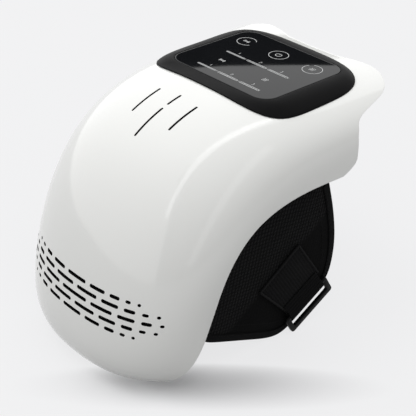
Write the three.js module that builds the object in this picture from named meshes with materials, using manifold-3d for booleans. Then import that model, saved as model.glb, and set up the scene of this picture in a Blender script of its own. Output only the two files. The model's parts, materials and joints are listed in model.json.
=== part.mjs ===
// Heated knee massager: a helmet-like shell that lies over a bent knee.
// X is across the leg, +Y points from the shin end to the thigh, +Z is up. Millimetres.
import * as THREE from 'three';
import { mergeVertices } from 'three/addons/utils/BufferGeometryUtils.js';
import Module from 'manifold-3d';

const kernel = await Module();
kernel.setup();

// Clearances that every fit shares
const SEAT_GAP = 0.3;
const BORE_GAP = 0.2;
const CUT_OVERRUN = 1;

// Shell
const SHELL_LENGTH = 270;
const SHELL_HEIGHT = 200;
const SHELL_HALF_WIDTH = 98;
const SHELL_WALL = 2.5;

// Stations from the chin at the shin end to the thigh end. Each row has the crown's place and the side
// edge's place as shares of length and height, then the half width share and the section's squareness.
const STATION_SHARES = [
  [-0.393, 0.005, -0.285, 0.24, 0.93, 2.8],
  [-0.496, 0.05, -0.256, 0.34, 0.94, 2.3],
  [-0.489, 0.24, -0.226, 0.47, 0.96, 2.2],
  [-0.422, 0.56, -0.178, 0.58, 0.975, 2.1],
  [-0.304, 0.835, -0.104, 0.655, 0.975, 2.1],
  [-0.137, 0.97, -0.004, 0.69, 0.98, 2.3],
  [0.067, 0.995, 0.107, 0.695, 0.99, 2.7],
  [0.248, 0.96, 0.196, 0.685, 1, 3.3],
  [0.411, 0.96, 0.252, 0.685, 1.01, 3.7],
  [0.567, 0.945, 0.311, 0.685, 1.02, 4],
];
// Where the thigh end's rim crosses the stations, from the crown out to the side edge
const RIM_SHARES = [
  0.93, 0.931, 0.934, 0.948, 0.96, 0.956, 0.932, 0.849, 0.839, 0.847, 0.863, 0.882, 0.88,
];
// Where the shell's facets change across it, finer where the rim steps in
const COLUMN_SHARES = [0, 0.11, 0.22, 0.33, 0.42, 0.48, 0.53, 0.57, 0.62, 0.71, 0.82, 0.91, 1];
const RIM_CORNER_START_SHARE = 0.83;
const RIM_CORNER_SHARE = 0.055;
const SLOPE_STEP_SHARE = 0.002;

// Liner that closes the housing from below
const LINER_WALL = 2;
const CAVITY_DEPTH = 22;
const SIDE_CAVITY = 5.5;
const CAVITY_SHARES = [[0.36], [0.42], [0.65], [0.9], [1], [1], [1], [1], [0.95], [0.9]];
const LINER_START_SHARE = 0.008;
const LINER_SETBACK_SHARE = 0.02;
const LINER_SIDE_SETBACK_SHARE = 0.06;
const LINER_SIDE_SHARE = 0.985;
const LIP_SHARE = 0.016;
const LIP_STEP_SHARE = 0.004;

// Vents in the shin arm: rows of slots cut straight in from the front
const VENT_ROW_PITCH = 6.5;
const VENT_HEIGHT = 69;
const VENT_WIDTH = 2.4;
const VENT_BRIDGE = 5;
const VENT_LONG_ROW = [28, 20.3, 13.4, 6.8, 2.6];
const VENT_STAGGERED_ROW = [21, 15, 8.5, 4.6, 2.6];
const VENT_SHORT_ROW = [20.5, 14.7, 8.3, 4.2, 2.6];
const VENT_CUT_SHARE = 0.16;
const SCREEN_THICKNESS = 0.8;
const SCREEN_SPAN_SHARES = [0.2, 0.34];
const SCREEN_SIDE_SHARE = 0.68;

// Narrow slots on the top front
const SLIT_WIDTH = 1.5;
const SLIT_SPACING = 20.5;
const SLIT_SPANS = [[-1, -46.5, -18.5], [0, -61.5, -34], [0, -29.5, -16], [1, -46.5, -18.5]];
const SLIT_CUT_DEPTH = 26;

// Control panel. Its place and its half lengths are shares of the shell's length.
const PANEL_CENTRE_SHARE = 0.226;
const PANEL_HALF_WIDTH = 72;
const PANEL_LENGTH_SHARE = 0.2122;
const PANEL_SQUARENESS = 4.2;
const PANEL_LEDGE = 6;
const PANEL_RISE = 2.7;
const PANEL_TILT = THREE.MathUtils.degToRad(2.5);
const BEZEL_EDGE = 1;
const BEZEL_ROLL_SHARE = 0.5;
const SPIGOT_DEPTH = 5;
const SPIGOT_WALL = 2;
const LENS_OFFSET = 1;
const LENS_HALF_WIDTH = 51.5;
const LENS_LENGTH_SHARE = 0.1704;
const LENS_CORNER = 13;
const LENS_THICKNESS = 2;
const LENS_LEDGE = 3;
const LEDGE_THICKNESS = 1.8;
const LIGHT_SHIELD_THICKNESS = 3;
const BOARD_THICKNESS = 1.6;
const KEY_SPACING = 36;
const KEY_ROW = 25;
const KEY_WINDOW = 12;
const BAR_ROWS = [-1.5, -34.5];
const BAR_SPACING = 23;
const BAR_LENGTH = 20;
const BAR_WIDTH = 2.2;
const ICON_WINDOW = 7;
const ICON_ROW = -16;
const ICON_SPACING = 47;
const LAMP_SIZE = 3.5;
const LAMP_HEIGHT = 1.4;

// Control board and charging socket
const MAIN_BOARD_WIDTH = 104;
const MAIN_BOARD_LENGTH = 58;
const MAIN_BOARD_LIFT = 5;
const MAIN_BOARD_INSET = 5;
const POST_RADIUS = 3;
const CHIP_SIZE = 14;
const CHIP_HEIGHT = 2.2;
const RELAY_SIZE = 9;
const RELAY_HEIGHT = 5;
const RELAY_SPACING = 27;
const PORT_WIDTH = 9;
const PORT_HEIGHT = 3.2;
const PORT_LENGTH = 9;
const PORT_WALL = 0.4;
const PORT_TONGUE = 0.7;
const PORT_BACK = 1.2;

// Batteries
const CELL_WIDTH = 50;
const CELL_LENGTH = 34;
const CELL_THICKNESS = 6.5;
const TRAY_WALL = 1.5;
const TRAY_STATION_SHARE = 0.56;
const TRAY_SKIRT = 14;

// Vibration motors
const MOTOR_STATION_SHARE = 0.4;
const MOTOR_SIDE_SHARE = 0.22;
const MOTOR_RADIUS = 7;
const MOTOR_LENGTH = 18;
const MOTOR_AXIS_LIFT = 8.4;
const MOTOR_SHAFT_RADIUS = 1;
const MOTOR_SHAFT_SEAT = 5;
const MOTOR_BOSS = 1.5;
const WEIGHT_RADIUS = 6.5;
const WEIGHT_THICKNESS = 5;
const WEIGHT_STANDOFF = 2;
const WEIGHT_HUB_RADIUS = 2.5;
const BRACKET_WALL = 2;
const BRACKET_LENGTH = 14;
const BRACKET_GRIP = 3;
const BRACKET_SKIRT = 10;

// Screws between liner and shell
const SCREW_PLACES_SHARES = [[0.18, 0.26], [0.5, 0.6], [0.74, 0.56]];
const SCREW_RADIUS = 1.4;
const SCREW_LENGTH = 7;
const SCREW_HEAD_RADIUS = 2.8;
const SCREW_HEAD = 2;
const BOSS_WALL = 1.6;
const CUP_WALL = 1.4;
const CUP_FLOOR = 1.6;
const CUP_DEPTH = 4.5;

// Heater and padded lining
const FILM_THICKNESS = 0.8;
const FILM_SPAN_SHARES = [0.17, 0.82];
const FILM_SIDE_SHARE = 0.66;
const PAD_THICKNESS = 8;
const PAD_EDGE_THICKNESS = 3;
const PAD_SPAN_SHARES = [0.035, 0.04];
const PAD_SIDE_SHARE = 0.95;
const PAD_CHANNEL_SHARE = 0.6;
const PAD_PANELS_ALONG = 4;
const PAD_PANELS_ACROSS = 3;

// Side wings
const WING_SPAN_SHARES = [0.03, 0.77];
const WING_THICKNESS = 4;
const WING_EDGE_THICKNESS = 3;
const WING_DROP = 4;
const WING_DEPTH = 95;
const WING_TOE_IN = THREE.MathUtils.degToRad(3.5);
const WING_TUCK_SHARE = 0.86;
const FLEX_GAP = 0.8;
const FLAP_ROW_SHARES = [0, 0.3, 0.6, 0.8, 0.9, 1];
// Free edge of the wing: shares of the chord's length and of the wing's depth
const WING_OUTLINE_SHARES = [
  [-0.005, 0.01], [0.005, 0.16], [0.075, 0.4], [0.165, 0.66], [0.25, 0.91], [0.345, 1.03],
  [0.53, 1], [0.69, 1.02], [0.78, 0.86], [0.865, 0.66], [0.925, 0.38], [0.955, 0.18], [0.975, 0.01],
];
const BINDING_WIDTH = 6;
const BINDING_WALL = 0.6;

// Webbing tab and buckle
const TAB_CORNER_SHARES = [[0.352, 0.253], [0.664, 0.258], [0.672, 0.79], [0.393, 0.79]];
const TAB_THICKNESS = 1.5;
const WEBBING_WIDTH = 38.5;
const LOOP_LENGTH = 16;
const LOOP_HOLE_SETBACK_SHARE = 3;
const LOOP_HOLE_LIFT_SHARE = 0.5;
const BUCKLE_PLACE_SHARES = [0.518, 0.863];
const BUCKLE_TURN = THREE.MathUtils.degToRad(5);
const BUCKLE_BAR_RADIUS = 2;
const BUCKLE_WIDTH = 49.5;
const BUCKLE_LENGTH = 18.5;
const BUCKLE_THICKNESS = 3.2;
const BUCKLE_RAIL = 4.5;
const BUCKLE_CORNER = 2.5;
const BUCKLE_SIDE_PLAY = 1;

// How far the shell leans so that it stands on its chin and on the wings' lowest edges
const STANDING_TILT = THREE.MathUtils.degToRad(0.8);

// Facet counts
const SHELL_ROWS = 22;
const LINER_ROWS = 14;
const LINER_COLUMNS = 12;
const CORNER_STEPS = 4;
const SIDE_STEPS = 5;
const PAD_CELLS = 5;
const WING_STEPS = 24;
const ROUND_STEPS = 16;
const BAR_STEPS = 12;
const ROD_STEPS = 10;
const SCREW_STEPS = 8;
const COARSE_STEPS = 2;
const HALVING_TURNS = 30;

const WHITE = 0xeeeeea;
const BLACK = 0x1b1b1c;
const STEEL = 0xb6b8bc;
const BOARD_GREEN = 0x1f5a3a;

const model = new THREE.Group();

const panelCentre = PANEL_CENTRE_SHARE * SHELL_LENGTH;
const panelHalfLength = PANEL_LENGTH_SHARE * SHELL_LENGTH;
const lensHalfLength = LENS_LENGTH_SHARE * SHELL_LENGTH;

// Points on the curved surfaces

/** Values of a table of rows along a smooth curve, at a place from 0 to 1. */
function splineRow(rows, place) {
  const last = rows.length - 1;
  const mirror = (end, next) => end.map((value, k) => 2 * value - next[k]);
  const row = (i) => {
    if (i < 0) return mirror(rows[0], rows[1]);
    return i > last ? mirror(rows[last], rows[last - 1]) : rows[i];
  };
  const run = THREE.MathUtils.clamp(place, 0, 1) * last;
  const span = Math.min(Math.floor(run), last - 1);
  const t = run - span;
  const weights = [
    (1 - t) ** 3 / 6,
    (3 * t ** 3 - 6 * t ** 2 + 4) / 6,
    (-3 * t ** 3 + 3 * t ** 2 + 3 * t + 1) / 6,
    t ** 3 / 6,
  ];
  return rows[0].map((_, k) => weights.reduce((sum, weight, n) => sum + weight * row(span - 1 + n)[k], 0));
}

/** The shell's section at a station from 0, the chin, to 1, past the thigh end's rim. */
function stationAt(place) {
  const [crownY, crownZ, edgeY, edgeZ, width, squareness] = splineRow(STATION_SHARES, place);
  const before = splineRow(STATION_SHARES, place - SLOPE_STEP_SHARE);
  const after = splineRow(STATION_SHARES, place + SLOPE_STEP_SHARE);
  const run = new THREE.Vector2(
    (after[0] - before[0]) * SHELL_LENGTH,
    (after[1] - before[1]) * SHELL_HEIGHT,
  ).normalize();
  return {
    crown: new THREE.Vector2(crownY * SHELL_LENGTH, crownZ * SHELL_HEIGHT),
    edge: new THREE.Vector2(edgeY * SHELL_LENGTH, edgeZ * SHELL_HEIGHT),
    halfWidth: width * SHELL_HALF_WIDTH,
    squareness,
    run,
    outward: new THREE.Vector2(-run.y, run.x),
  };
}

/** A point of the layer that lies the given depths inside the shell's outer surface. */
function layerPoint(place, side, crownDepth, sideDepth = crownDepth) {
  const { crown, edge, halfWidth, squareness, outward } = stationAt(place);
  const angle = (side * Math.PI) / 2;
  const across = Math.abs(Math.sin(angle));
  const up = Math.abs(Math.cos(angle));
  const reach = (across ** squareness + up ** squareness) ** (-1 / squareness);
  const top = crown.clone().addScaledVector(outward, -crownDepth);
  const spot = edge.clone().lerp(top, reach * up);
  return new THREE.Vector3(Math.sign(side) * (halfWidth - sideDepth) * reach * across, spot.x, spot.y);
}

/** Height of a layer's crown over a place in plan, where depths(place) gives its two depths. */
function heightOver(x, y, depths) {
  const sectionAt = (place) => {
    const { crown, edge, halfWidth, squareness, outward } = stationAt(place);
    const [crownDepth, sideDepth] = depths(place);
    const share = Math.min(Math.abs(x) / (halfWidth - sideDepth), 1);
    const top = crown.clone().addScaledVector(outward, -crownDepth);
    return edge.clone().lerp(top, (1 - share ** squareness) ** (1 / squareness));
  };
  let low = 1 / 2;
  let high = 1;
  for (let turn = 0; turn < HALVING_TURNS; turn += 1) {
    const middle = (low + high) / 2;
    if (sectionAt(middle).x < y) low = middle;
    else high = middle;
  }
  return sectionAt((low + high) / 2).y;
}

/** The place where the thigh end's rim cuts the stations, for a side from -1 to 1. */
function rimAt(side) {
  const run = Math.abs(side) * (RIM_SHARES.length - 1);
  const knot = Math.min(Math.floor(run), RIM_SHARES.length - 2);
  const t = run - knot;
  const last = RIM_SHARES.length - 1;
  const knots = [Math.abs(knot - 1), knot, knot + 1, Math.min(knot + 2, last)];
  const [a, b, c, d] = knots.map((k) => RIM_SHARES[k]);
  const bend = 2 * a - 5 * b + 4 * c - d;
  const twist = 3 * (b - c) + d - a;
  const curve = b + (t * (c - a + t * (bend + t * twist))) / 2;
  const corner = Math.max(0, Math.abs(side) - RIM_CORNER_START_SHARE) / (1 - RIM_CORNER_START_SHARE);
  return curve - RIM_CORNER_SHARE * corner ** 4;
}

/** The place where the liner ends: inside the rim both along the shell and across it. */
function linerRimAt(side) {
  const beside = Math.min(Math.abs(side) + LINER_SIDE_SETBACK_SHARE, 1);
  return Math.min(rimAt(side), rimAt(beside)) - LINER_SETBACK_SHARE;
}

const shellDepths = () => [0, 0];
const cavityDepthAt = (place) => CAVITY_DEPTH * splineRow(CAVITY_SHARES, place)[0];
const linerDepths = (place) => [cavityDepthAt(place), SIDE_CAVITY];

/** A point of the liner's own grid: along from 0 to 1, side from -1 to 1, with depths(place). */
function linerPoint(along, side, depths) {
  const place = THREE.MathUtils.lerp(LINER_START_SHARE, linerRimAt(side), along);
  return layerPoint(place, side, ...depths(place));
}

/** Evenly spaced values from one to another. */
function spread(from, to, steps) {
  return Array.from({ length: steps + 1 }, (_, i) => THREE.MathUtils.lerp(from, to, i / steps));
}

// Solids from points

/** A closed body from points and four-sided or three-sided faces, with its faces pointing out. */
function bodyFrom(points, faces) {
  const index = faces.flatMap(([a, b, c, d]) => (d === undefined ? [a, b, c] : [a, b, c, a, c, d]));
  let volume = 0;
  for (let i = 0; i < index.length; i += 3) {
    const [p, q, r] = [0, 1, 2].map((k) => points[index[i + k]]);
    volume += p.dot(new THREE.Vector3().crossVectors(q, r));
  }
  const geometry = new THREE.BufferGeometry();
  geometry.setAttribute('position', new THREE.Float32BufferAttribute(points.flatMap((p) => p.toArray()), 3));
  geometry.setIndex(volume > 0 ? index : index.reverse());
  return geometry;
}

/** A closed body between an outer and an inner sheet of points over the same grid. */
function sheetSolid(alongs, acrosses, outer, inner) {
  const points = [outer, inner].flatMap((face) => (
    alongs.flatMap((along) => acrosses.map((across) => face(along, across)))
  ));
  const at = (layer, i, j) => (layer * alongs.length + i) * acrosses.length + j;
  const rows = alongs.length - 1;
  const columns = acrosses.length - 1;
  const faces = [];
  for (let i = 0; i < rows; i += 1) {
    for (let j = 0; j < columns; j += 1) {
      faces.push([at(0, i, j), at(0, i + 1, j), at(0, i + 1, j + 1), at(0, i, j + 1)]);
      faces.push([at(1, i, j), at(1, i, j + 1), at(1, i + 1, j + 1), at(1, i + 1, j)]);
    }
    faces.push([at(0, i + 1, 0), at(0, i, 0), at(1, i, 0), at(1, i + 1, 0)]);
    faces.push([at(0, i, columns), at(0, i + 1, columns), at(1, i + 1, columns), at(1, i, columns)]);
  }
  for (let j = 0; j < columns; j += 1) {
    faces.push([at(0, 0, j), at(0, 0, j + 1), at(1, 0, j + 1), at(1, 0, j)]);
    faces.push([at(0, rows, j + 1), at(0, rows, j), at(1, rows, j), at(1, rows, j + 1)]);
  }
  return bodyFrom(points, faces);
}

/** A body swept through sections of points, closed on itself or capped at both ends. */
function sweptSolid(sections, capFaces) {
  const size = sections[0].length;
  const count = sections.length;
  const spans = capFaces ? count - 1 : count;
  const faces = [];
  for (let k = 0; k < spans; k += 1) {
    const next = ((k + 1) % count) * size;
    for (let m = 0; m < size; m += 1) {
      const after = (m + 1) % size;
      faces.push([k * size + m, next + m, next + after, k * size + after]);
    }
  }
  (capFaces ?? []).forEach(([a, b, c]) => {
    faces.push([a, b, c]);
    faces.push([c, b, a].map((corner) => corner + spans * size));
  });
  return bodyFrom(sections.flat(), faces);
}

/** The closed solid of a geometry, ready to be joined or cut. */
function solidOf(geometry) {
  const bare = geometry.clone();
  bare.deleteAttribute('normal');
  bare.deleteAttribute('uv');
  const merged = mergeVertices(bare);
  return new kernel.Manifold(new kernel.Mesh({
    numProp: 3,
    vertProperties: new Float32Array(merged.attributes.position.array),
    triVerts: new Uint32Array(merged.index.array),
  }));
}

/** The geometry of a joined or cut solid. */
function geometryOf(solid) {
  const mesh = solid.getMesh();
  const geometry = new THREE.BufferGeometry();
  geometry.setAttribute('position', new THREE.BufferAttribute(mesh.vertProperties, 3));
  geometry.setIndex(new THREE.BufferAttribute(mesh.triVerts, 1));
  return geometry;
}

const joined = (geometries) => geometries.map(solidOf).reduce((sum, solid) => sum.add(solid));
const without = (solid, cutters) => cutters.reduce((rest, cutter) => rest.subtract(solidOf(cutter)), solid);

/** A block given by its lowest and highest corners. */
function block(low, high) {
  const size = new THREE.Vector3().subVectors(high, low);
  const middle = new THREE.Vector3().addVectors(low, high).multiplyScalar(1 / 2);
  return new THREE.BoxGeometry(size.x, size.y, size.z).translate(middle.x, middle.y, middle.z);
}

/** A round rod between two points. */
function rod(from, to, radius, steps = ROUND_STEPS) {
  const run = new THREE.Vector3().subVectors(to, from);
  const length = run.length();
  const turn = new THREE.Quaternion().setFromUnitVectors(new THREE.Vector3(0, 1, 0), run.normalize());
  const middle = new THREE.Vector3().addVectors(from, to).multiplyScalar(1 / 2);
  return new THREE.CylinderGeometry(radius, radius, length, steps)
    .applyQuaternion(turn)
    .translate(middle.x, middle.y, middle.z);
}

/** A point round an oval whose squareness sets how full its corners are. */
function ovalPoint(turn, halfWidth, halfLength, squareness) {
  const across = Math.cos(turn);
  const along = Math.sin(turn);
  const reach = (Math.abs(across) ** squareness + Math.abs(along) ** squareness) ** (-1 / squareness);
  return new THREE.Vector2(halfWidth * reach * across, halfLength * reach * along);
}

/** Points round a rectangle with round corners: each corner's arc, then places along the next side. */
function ringPoints(halfWidth, halfLength, corner) {
  const middles = [[1, 1], [-1, 1], [-1, -1], [1, -1]].map(([x, y]) => (
    new THREE.Vector2(x * (halfWidth - corner), y * (halfLength - corner))
  ));
  return middles.flatMap((middle, quarter) => {
    const onArc = (centre, turn) => centre.clone().add(new THREE.Vector2(Math.cos(turn), Math.sin(turn))
      .multiplyScalar(corner));
    const end = ((quarter + 1) * Math.PI) / 2;
    const arc = spread(end - Math.PI / 2, end, CORNER_STEPS).map((turn) => onArc(middle, turn));
    const next = onArc(middles[(quarter + 1) % middles.length], end);
    const shares = spread(0, 1, SIDE_STEPS).slice(1, -1);
    const side = shares.map((share) => arc[CORNER_STEPS].clone().lerp(next, share));
    return [...arc, ...side];
  });
}

/** A slot with round ends, as long as it is said to be overall, along x in its own plane. */
function slotShape(length, width) {
  const radius = width / 2;
  const reach = Math.max(length / 2 - radius, 0);
  const shape = new THREE.Shape();
  shape.absarc(reach, 0, radius, -Math.PI / 2, Math.PI / 2, false);
  shape.absarc(-reach, 0, radius, Math.PI / 2, (3 * Math.PI) / 2, false);
  shape.closePath();
  return shape;
}

/** A rectangle centred on its own origin, with rounded corners where it has any. */
function plateShape(width, length, corner) {
  const [x, y] = [width / 2 - corner, length / 2 - corner];
  if (corner === 0) {
    return new THREE.Shape([[x, -y], [x, y], [-x, y], [-x, -y]].map(([a, b]) => new THREE.Vector2(a, b)));
  }
  const shape = new THREE.Shape();
  shape.absarc(x, -y, corner, -Math.PI / 2, 0, false);
  shape.absarc(x, y, corner, 0, Math.PI / 2, false);
  shape.absarc(-x, y, corner, Math.PI / 2, Math.PI, false);
  shape.absarc(-x, -y, corner, Math.PI, (3 * Math.PI) / 2, false);
  shape.closePath();
  return shape;
}

/** A plate of a shape, whose arcs get a number of facets each. */
const plate = (shape, thickness, arcSteps = CORNER_STEPS) => (
  new THREE.ExtrudeGeometry(shape, { depth: thickness, bevelEnabled: false, curveSegments: arcSteps / 2 })
);

/** The same body on the other side of the leg. */
function mirrored(geometry) {
  const other = geometry.clone().scale(-1, 1, 1);
  const order = other.index ?? new THREE.BufferAttribute(
    Uint32Array.from({ length: other.attributes.position.count }, (_, i) => i),
    1,
  );
  other.setIndex(Array.from(order.array).reverse());
  return other;
}

// Scene helpers

function makeMesh(name, geometry, color, roughness, metalness = 0) {
  const mesh = new THREE.Mesh(geometry, new THREE.MeshStandardMaterial({ color, roughness, metalness }));
  mesh.name = name;
  return mesh;
}

/** A group whose own axes lie along the given directions. */
function framed(origin, xAxis, yAxis, zAxis) {
  const group = new THREE.Group();
  group.position.copy(origin);
  group.quaternion.setFromRotationMatrix(new THREE.Matrix4().makeBasis(xAxis, yAxis, zAxis));
  return group;
}

/** A group that sits on the liner, with x across the leg, y along the shell and z outward. */
function seatOnLiner(place, side) {
  const spot = layerPoint(place, side, ...linerDepths(place));
  const ahead = layerPoint(place + SLOPE_STEP_SHARE, side, ...linerDepths(place));
  const beside = layerPoint(place, side + SLOPE_STEP_SHARE, ...linerDepths(place));
  const across = beside.sub(spot).normalize();
  const outward = new THREE.Vector3().crossVectors(across, ahead.sub(spot)).normalize();
  return framed(spot, across, new THREE.Vector3().crossVectors(outward, across), outward);
}

// Grids of the shell and of the liner. What touches either of them is trimmed with its facets.
const shellAlongs = spread(0, 1, SHELL_ROWS);
const shellSides = [...COLUMN_SHARES.slice(1).map((side) => -side).reverse(), ...COLUMN_SHARES];
const linerAlongs = [
  0,
  LIP_SHARE,
  ...spread(LIP_SHARE + LIP_STEP_SHARE, 1 - LIP_SHARE - LIP_STEP_SHARE, LINER_ROWS),
  1 - LIP_SHARE,
  1,
];
const linerSides = [
  -LINER_SIDE_SHARE,
  2 * LIP_SHARE - LINER_SIDE_SHARE,
  ...spread(3 * LIP_SHARE - LINER_SIDE_SHARE, LINER_SIDE_SHARE - 3 * LIP_SHARE, LINER_COLUMNS),
  LINER_SIDE_SHARE - 2 * LIP_SHARE,
  LINER_SIDE_SHARE,
];
const inLip = (along, side) => (
  along <= LIP_SHARE || along >= 1 - LIP_SHARE || Math.abs(side) >= LINER_SIDE_SHARE - 2 * LIP_SHARE
);

/** Depths a given distance below the liner's upper face. */
const belowLiner = (distance) => (place) => linerDepths(place).map((depth) => depth + distance);

/** The solid between two layers over a grid of the liner's own lines. */
function linerSheet(alongs, sides, top, bottom) {
  const face = (depths) => (along, side) => linerPoint(along, side, depths);
  return sheetSolid(alongs, sides, face(top), face(bottom));
}

/** The room under the shell from a depth in its wall to below the liner. */
function roomBelow(depth) {
  const top = () => [depth, depth];
  const bottom = belowLiner(2 * LINER_WALL);
  const face = (depths) => (along, side) => {
    const place = along * rimAt(side);
    return layerPoint(place, side, ...depths(place));
  };
  return solidOf(sheetSolid(shellAlongs, shellSides, face(top), face(bottom)));
}
const housing = roomBelow(SHELL_WALL + SEAT_GAP);

/** The free space between shell and liner. What is fitted into it is trimmed to it. */
function cavitySolid() {
  const top = () => [SHELL_WALL / 2, SHELL_WALL / 2];
  const sheet = linerSheet(linerAlongs.slice(2, -2), linerSides.slice(2, -2), top, belowLiner(-SEAT_GAP));
  return housing.intersect(solidOf(sheet));
}
const cavity = cavitySolid();

/** Trims a geometry that is written in a group's own axes to the free space of the housing. */
function fittedInCavity(group, solid) {
  const there = group.matrix.compose(group.position, group.quaternion, group.scale).clone();
  const moved = geometryOf(solid).applyMatrix4(there);
  return geometryOf(solidOf(moved).intersect(cavity)).applyMatrix4(there.invert());
}

// Screws, with their bosses on the shell and their cups on the liner
const screwFits = SCREW_PLACES_SHARES.flatMap(([place, side]) => [side, -side].map((share) => {
  const outside = layerPoint(place, share, 0);
  const onLiner = layerPoint(place, share, ...linerDepths(place));
  const inward = new THREE.Vector3().subVectors(onLiner, outside).normalize();
  const along = (start, distance) => start.clone().addScaledVector(inward, distance);
  return {
    inward,
    outside,
    bossEnd: along(onLiner, -CUP_DEPTH - SEAT_GAP),
    cupTop: along(onLiner, -CUP_DEPTH),
    cupFloor: along(onLiner, CUP_FLOOR - CUP_DEPTH),
    cupFoot: along(onLiner, LINER_WALL / 2),
    mouth: along(onLiner, LINER_WALL + 2 * CUT_OVERRUN),
  };
}));
const boreRadius = SCREW_RADIUS + BORE_GAP;
const headBoreRadius = SCREW_HEAD_RADIUS + BORE_GAP;
const screwReach = SCREW_LENGTH + CUT_OVERRUN - CUP_FLOOR;

function makeScrews() {
  const profile = [
    [0, -SCREW_LENGTH], [SCREW_RADIUS / 2, -SCREW_LENGTH], [SCREW_RADIUS, SCREW_RADIUS - SCREW_LENGTH],
    [SCREW_RADIUS, 0], [SCREW_HEAD_RADIUS, 0], [SCREW_HEAD_RADIUS, SCREW_HEAD / 2], [0, SCREW_HEAD],
  ].map(([x, y]) => new THREE.Vector2(x, y));
  screwFits.forEach((fit, k) => {
    const turned = new THREE.LatheGeometry(profile, SCREW_STEPS);
    const screw = makeMesh(`shell_screw_${k + 1}`, turned, STEEL, 0.35, 1);
    screw.position.copy(fit.cupFloor).addScaledVector(fit.inward, BORE_GAP);
    screw.quaternion.setFromUnitVectors(new THREE.Vector3(0, 1, 0), fit.inward);
    model.add(screw);
  });
}

// White outer shell

/** Middles and lengths of the vent slots along one row, from the centre line outward. */
function ventRow(lengths, centred) {
  const slots = [];
  let edge = VENT_BRIDGE / 2;
  lengths.forEach((length, k) => {
    const middle = centred && k === 0 ? 0 : edge + length / 2;
    slots.push([middle, length]);
    if (middle > 0) slots.push([-middle, length]);
    edge = middle + length / 2 + VENT_BRIDGE;
  });
  return slots;
}

function ventCutters() {
  const rows = [
    [2, VENT_SHORT_ROW, true], [1, VENT_STAGGERED_ROW, false], [0, VENT_LONG_ROW, true],
    [-1, VENT_STAGGERED_ROW, false], [-2, VENT_SHORT_ROW, true],
  ];
  const cutLength = VENT_CUT_SHARE * SHELL_LENGTH;
  const back = cutLength - SHELL_LENGTH / 2;
  return rows.flatMap(([step, lengths, centred]) => ventRow(lengths, centred).map(([middle, length]) => (
    plate(slotShape(length, VENT_WIDTH), cutLength + CUT_OVERRUN)
      .rotateX(Math.PI / 2)
      .translate(middle, back, VENT_HEIGHT + step * VENT_ROW_PITCH)
  )));
}

function slitCutters() {
  return SLIT_SPANS.map(([column, from, to]) => {
    const top = heightOver(column * SLIT_SPACING, to, shellDepths) + CUT_OVERRUN;
    return plate(slotShape(to - from, SLIT_WIDTH), SLIT_CUT_DEPTH, COARSE_STEPS)
      .rotateZ(Math.PI / 2)
      .translate(column * SLIT_SPACING, (from + to) / 2, top - SLIT_CUT_DEPTH);
  });
}

const panelHeight = heightOver(0, panelCentre, shellDepths) + PANEL_RISE;
const lensRing = (inset) => ringPoints(LENS_HALF_WIDTH - inset, lensHalfLength - inset, LENS_CORNER - inset);

/** The point of the panel's outline that faces a point of the lens's outline, moved inward. */
function panelPoint(lensSpot, inset) {
  const turn = Math.atan2(lensSpot.y / lensHalfLength, lensSpot.x / LENS_HALF_WIDTH);
  return ovalPoint(turn, PANEL_HALF_WIDTH - inset, panelHalfLength - inset, PANEL_SQUARENESS);
}

function makeOuterShell() {
  const face = (depth) => (along, side) => layerPoint(along * rimAt(side), side, depth);
  const skin = sheetSolid(shellAlongs, shellSides, face(0), face(SHELL_WALL));
  const bosses = screwFits.map((fit) => rod(fit.outside, fit.bossEnd, boreRadius + BOSS_WALL, ROD_STEPS));
  const bores = screwFits.map((fit) => rod(
    fit.cupTop.clone().addScaledVector(fit.inward, -screwReach),
    fit.cupTop.clone().addScaledVector(fit.inward, CUT_OVERRUN),
    boreRadius,
    ROD_STEPS,
  ));
  const openingOutline = lensRing(0).map((spot) => panelPoint(spot, PANEL_LEDGE));
  const opening = plate(new THREE.Shape(openingOutline), CAVITY_DEPTH)
    .translate(0, panelCentre, panelHeight - CAVITY_DEPTH + CUT_OVERRUN);
  const body = solidOf(skin).add(joined(bosses).intersect(roomBelow(SHELL_WALL / 2)));
  const solid = without(body, [opening, ...bores, ...slitCutters(), ...ventCutters()]);
  model.add(makeMesh('outer_shell', geometryOf(solid), WHITE, 0.22));
}

// Liner

const boardBottom = heightOver(0, panelCentre, linerDepths) + MAIN_BOARD_LIFT;
const linerRear = layerPoint(linerRimAt(0), 0, ...linerDepths(rimAt(0))).y;
const boardRear = linerRear - MAIN_BOARD_INSET - LIP_SHARE * SHELL_LENGTH;
const boardMiddle = boardRear - MAIN_BOARD_LENGTH / 2;
const boardPosts = [-1, 1].flatMap((x) => [-1, 1].map((y) => new THREE.Vector2(
  x * (MAIN_BOARD_WIDTH / 2 - POST_RADIUS),
  boardMiddle + y * (MAIN_BOARD_LENGTH / 2 - POST_RADIUS),
)));

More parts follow.
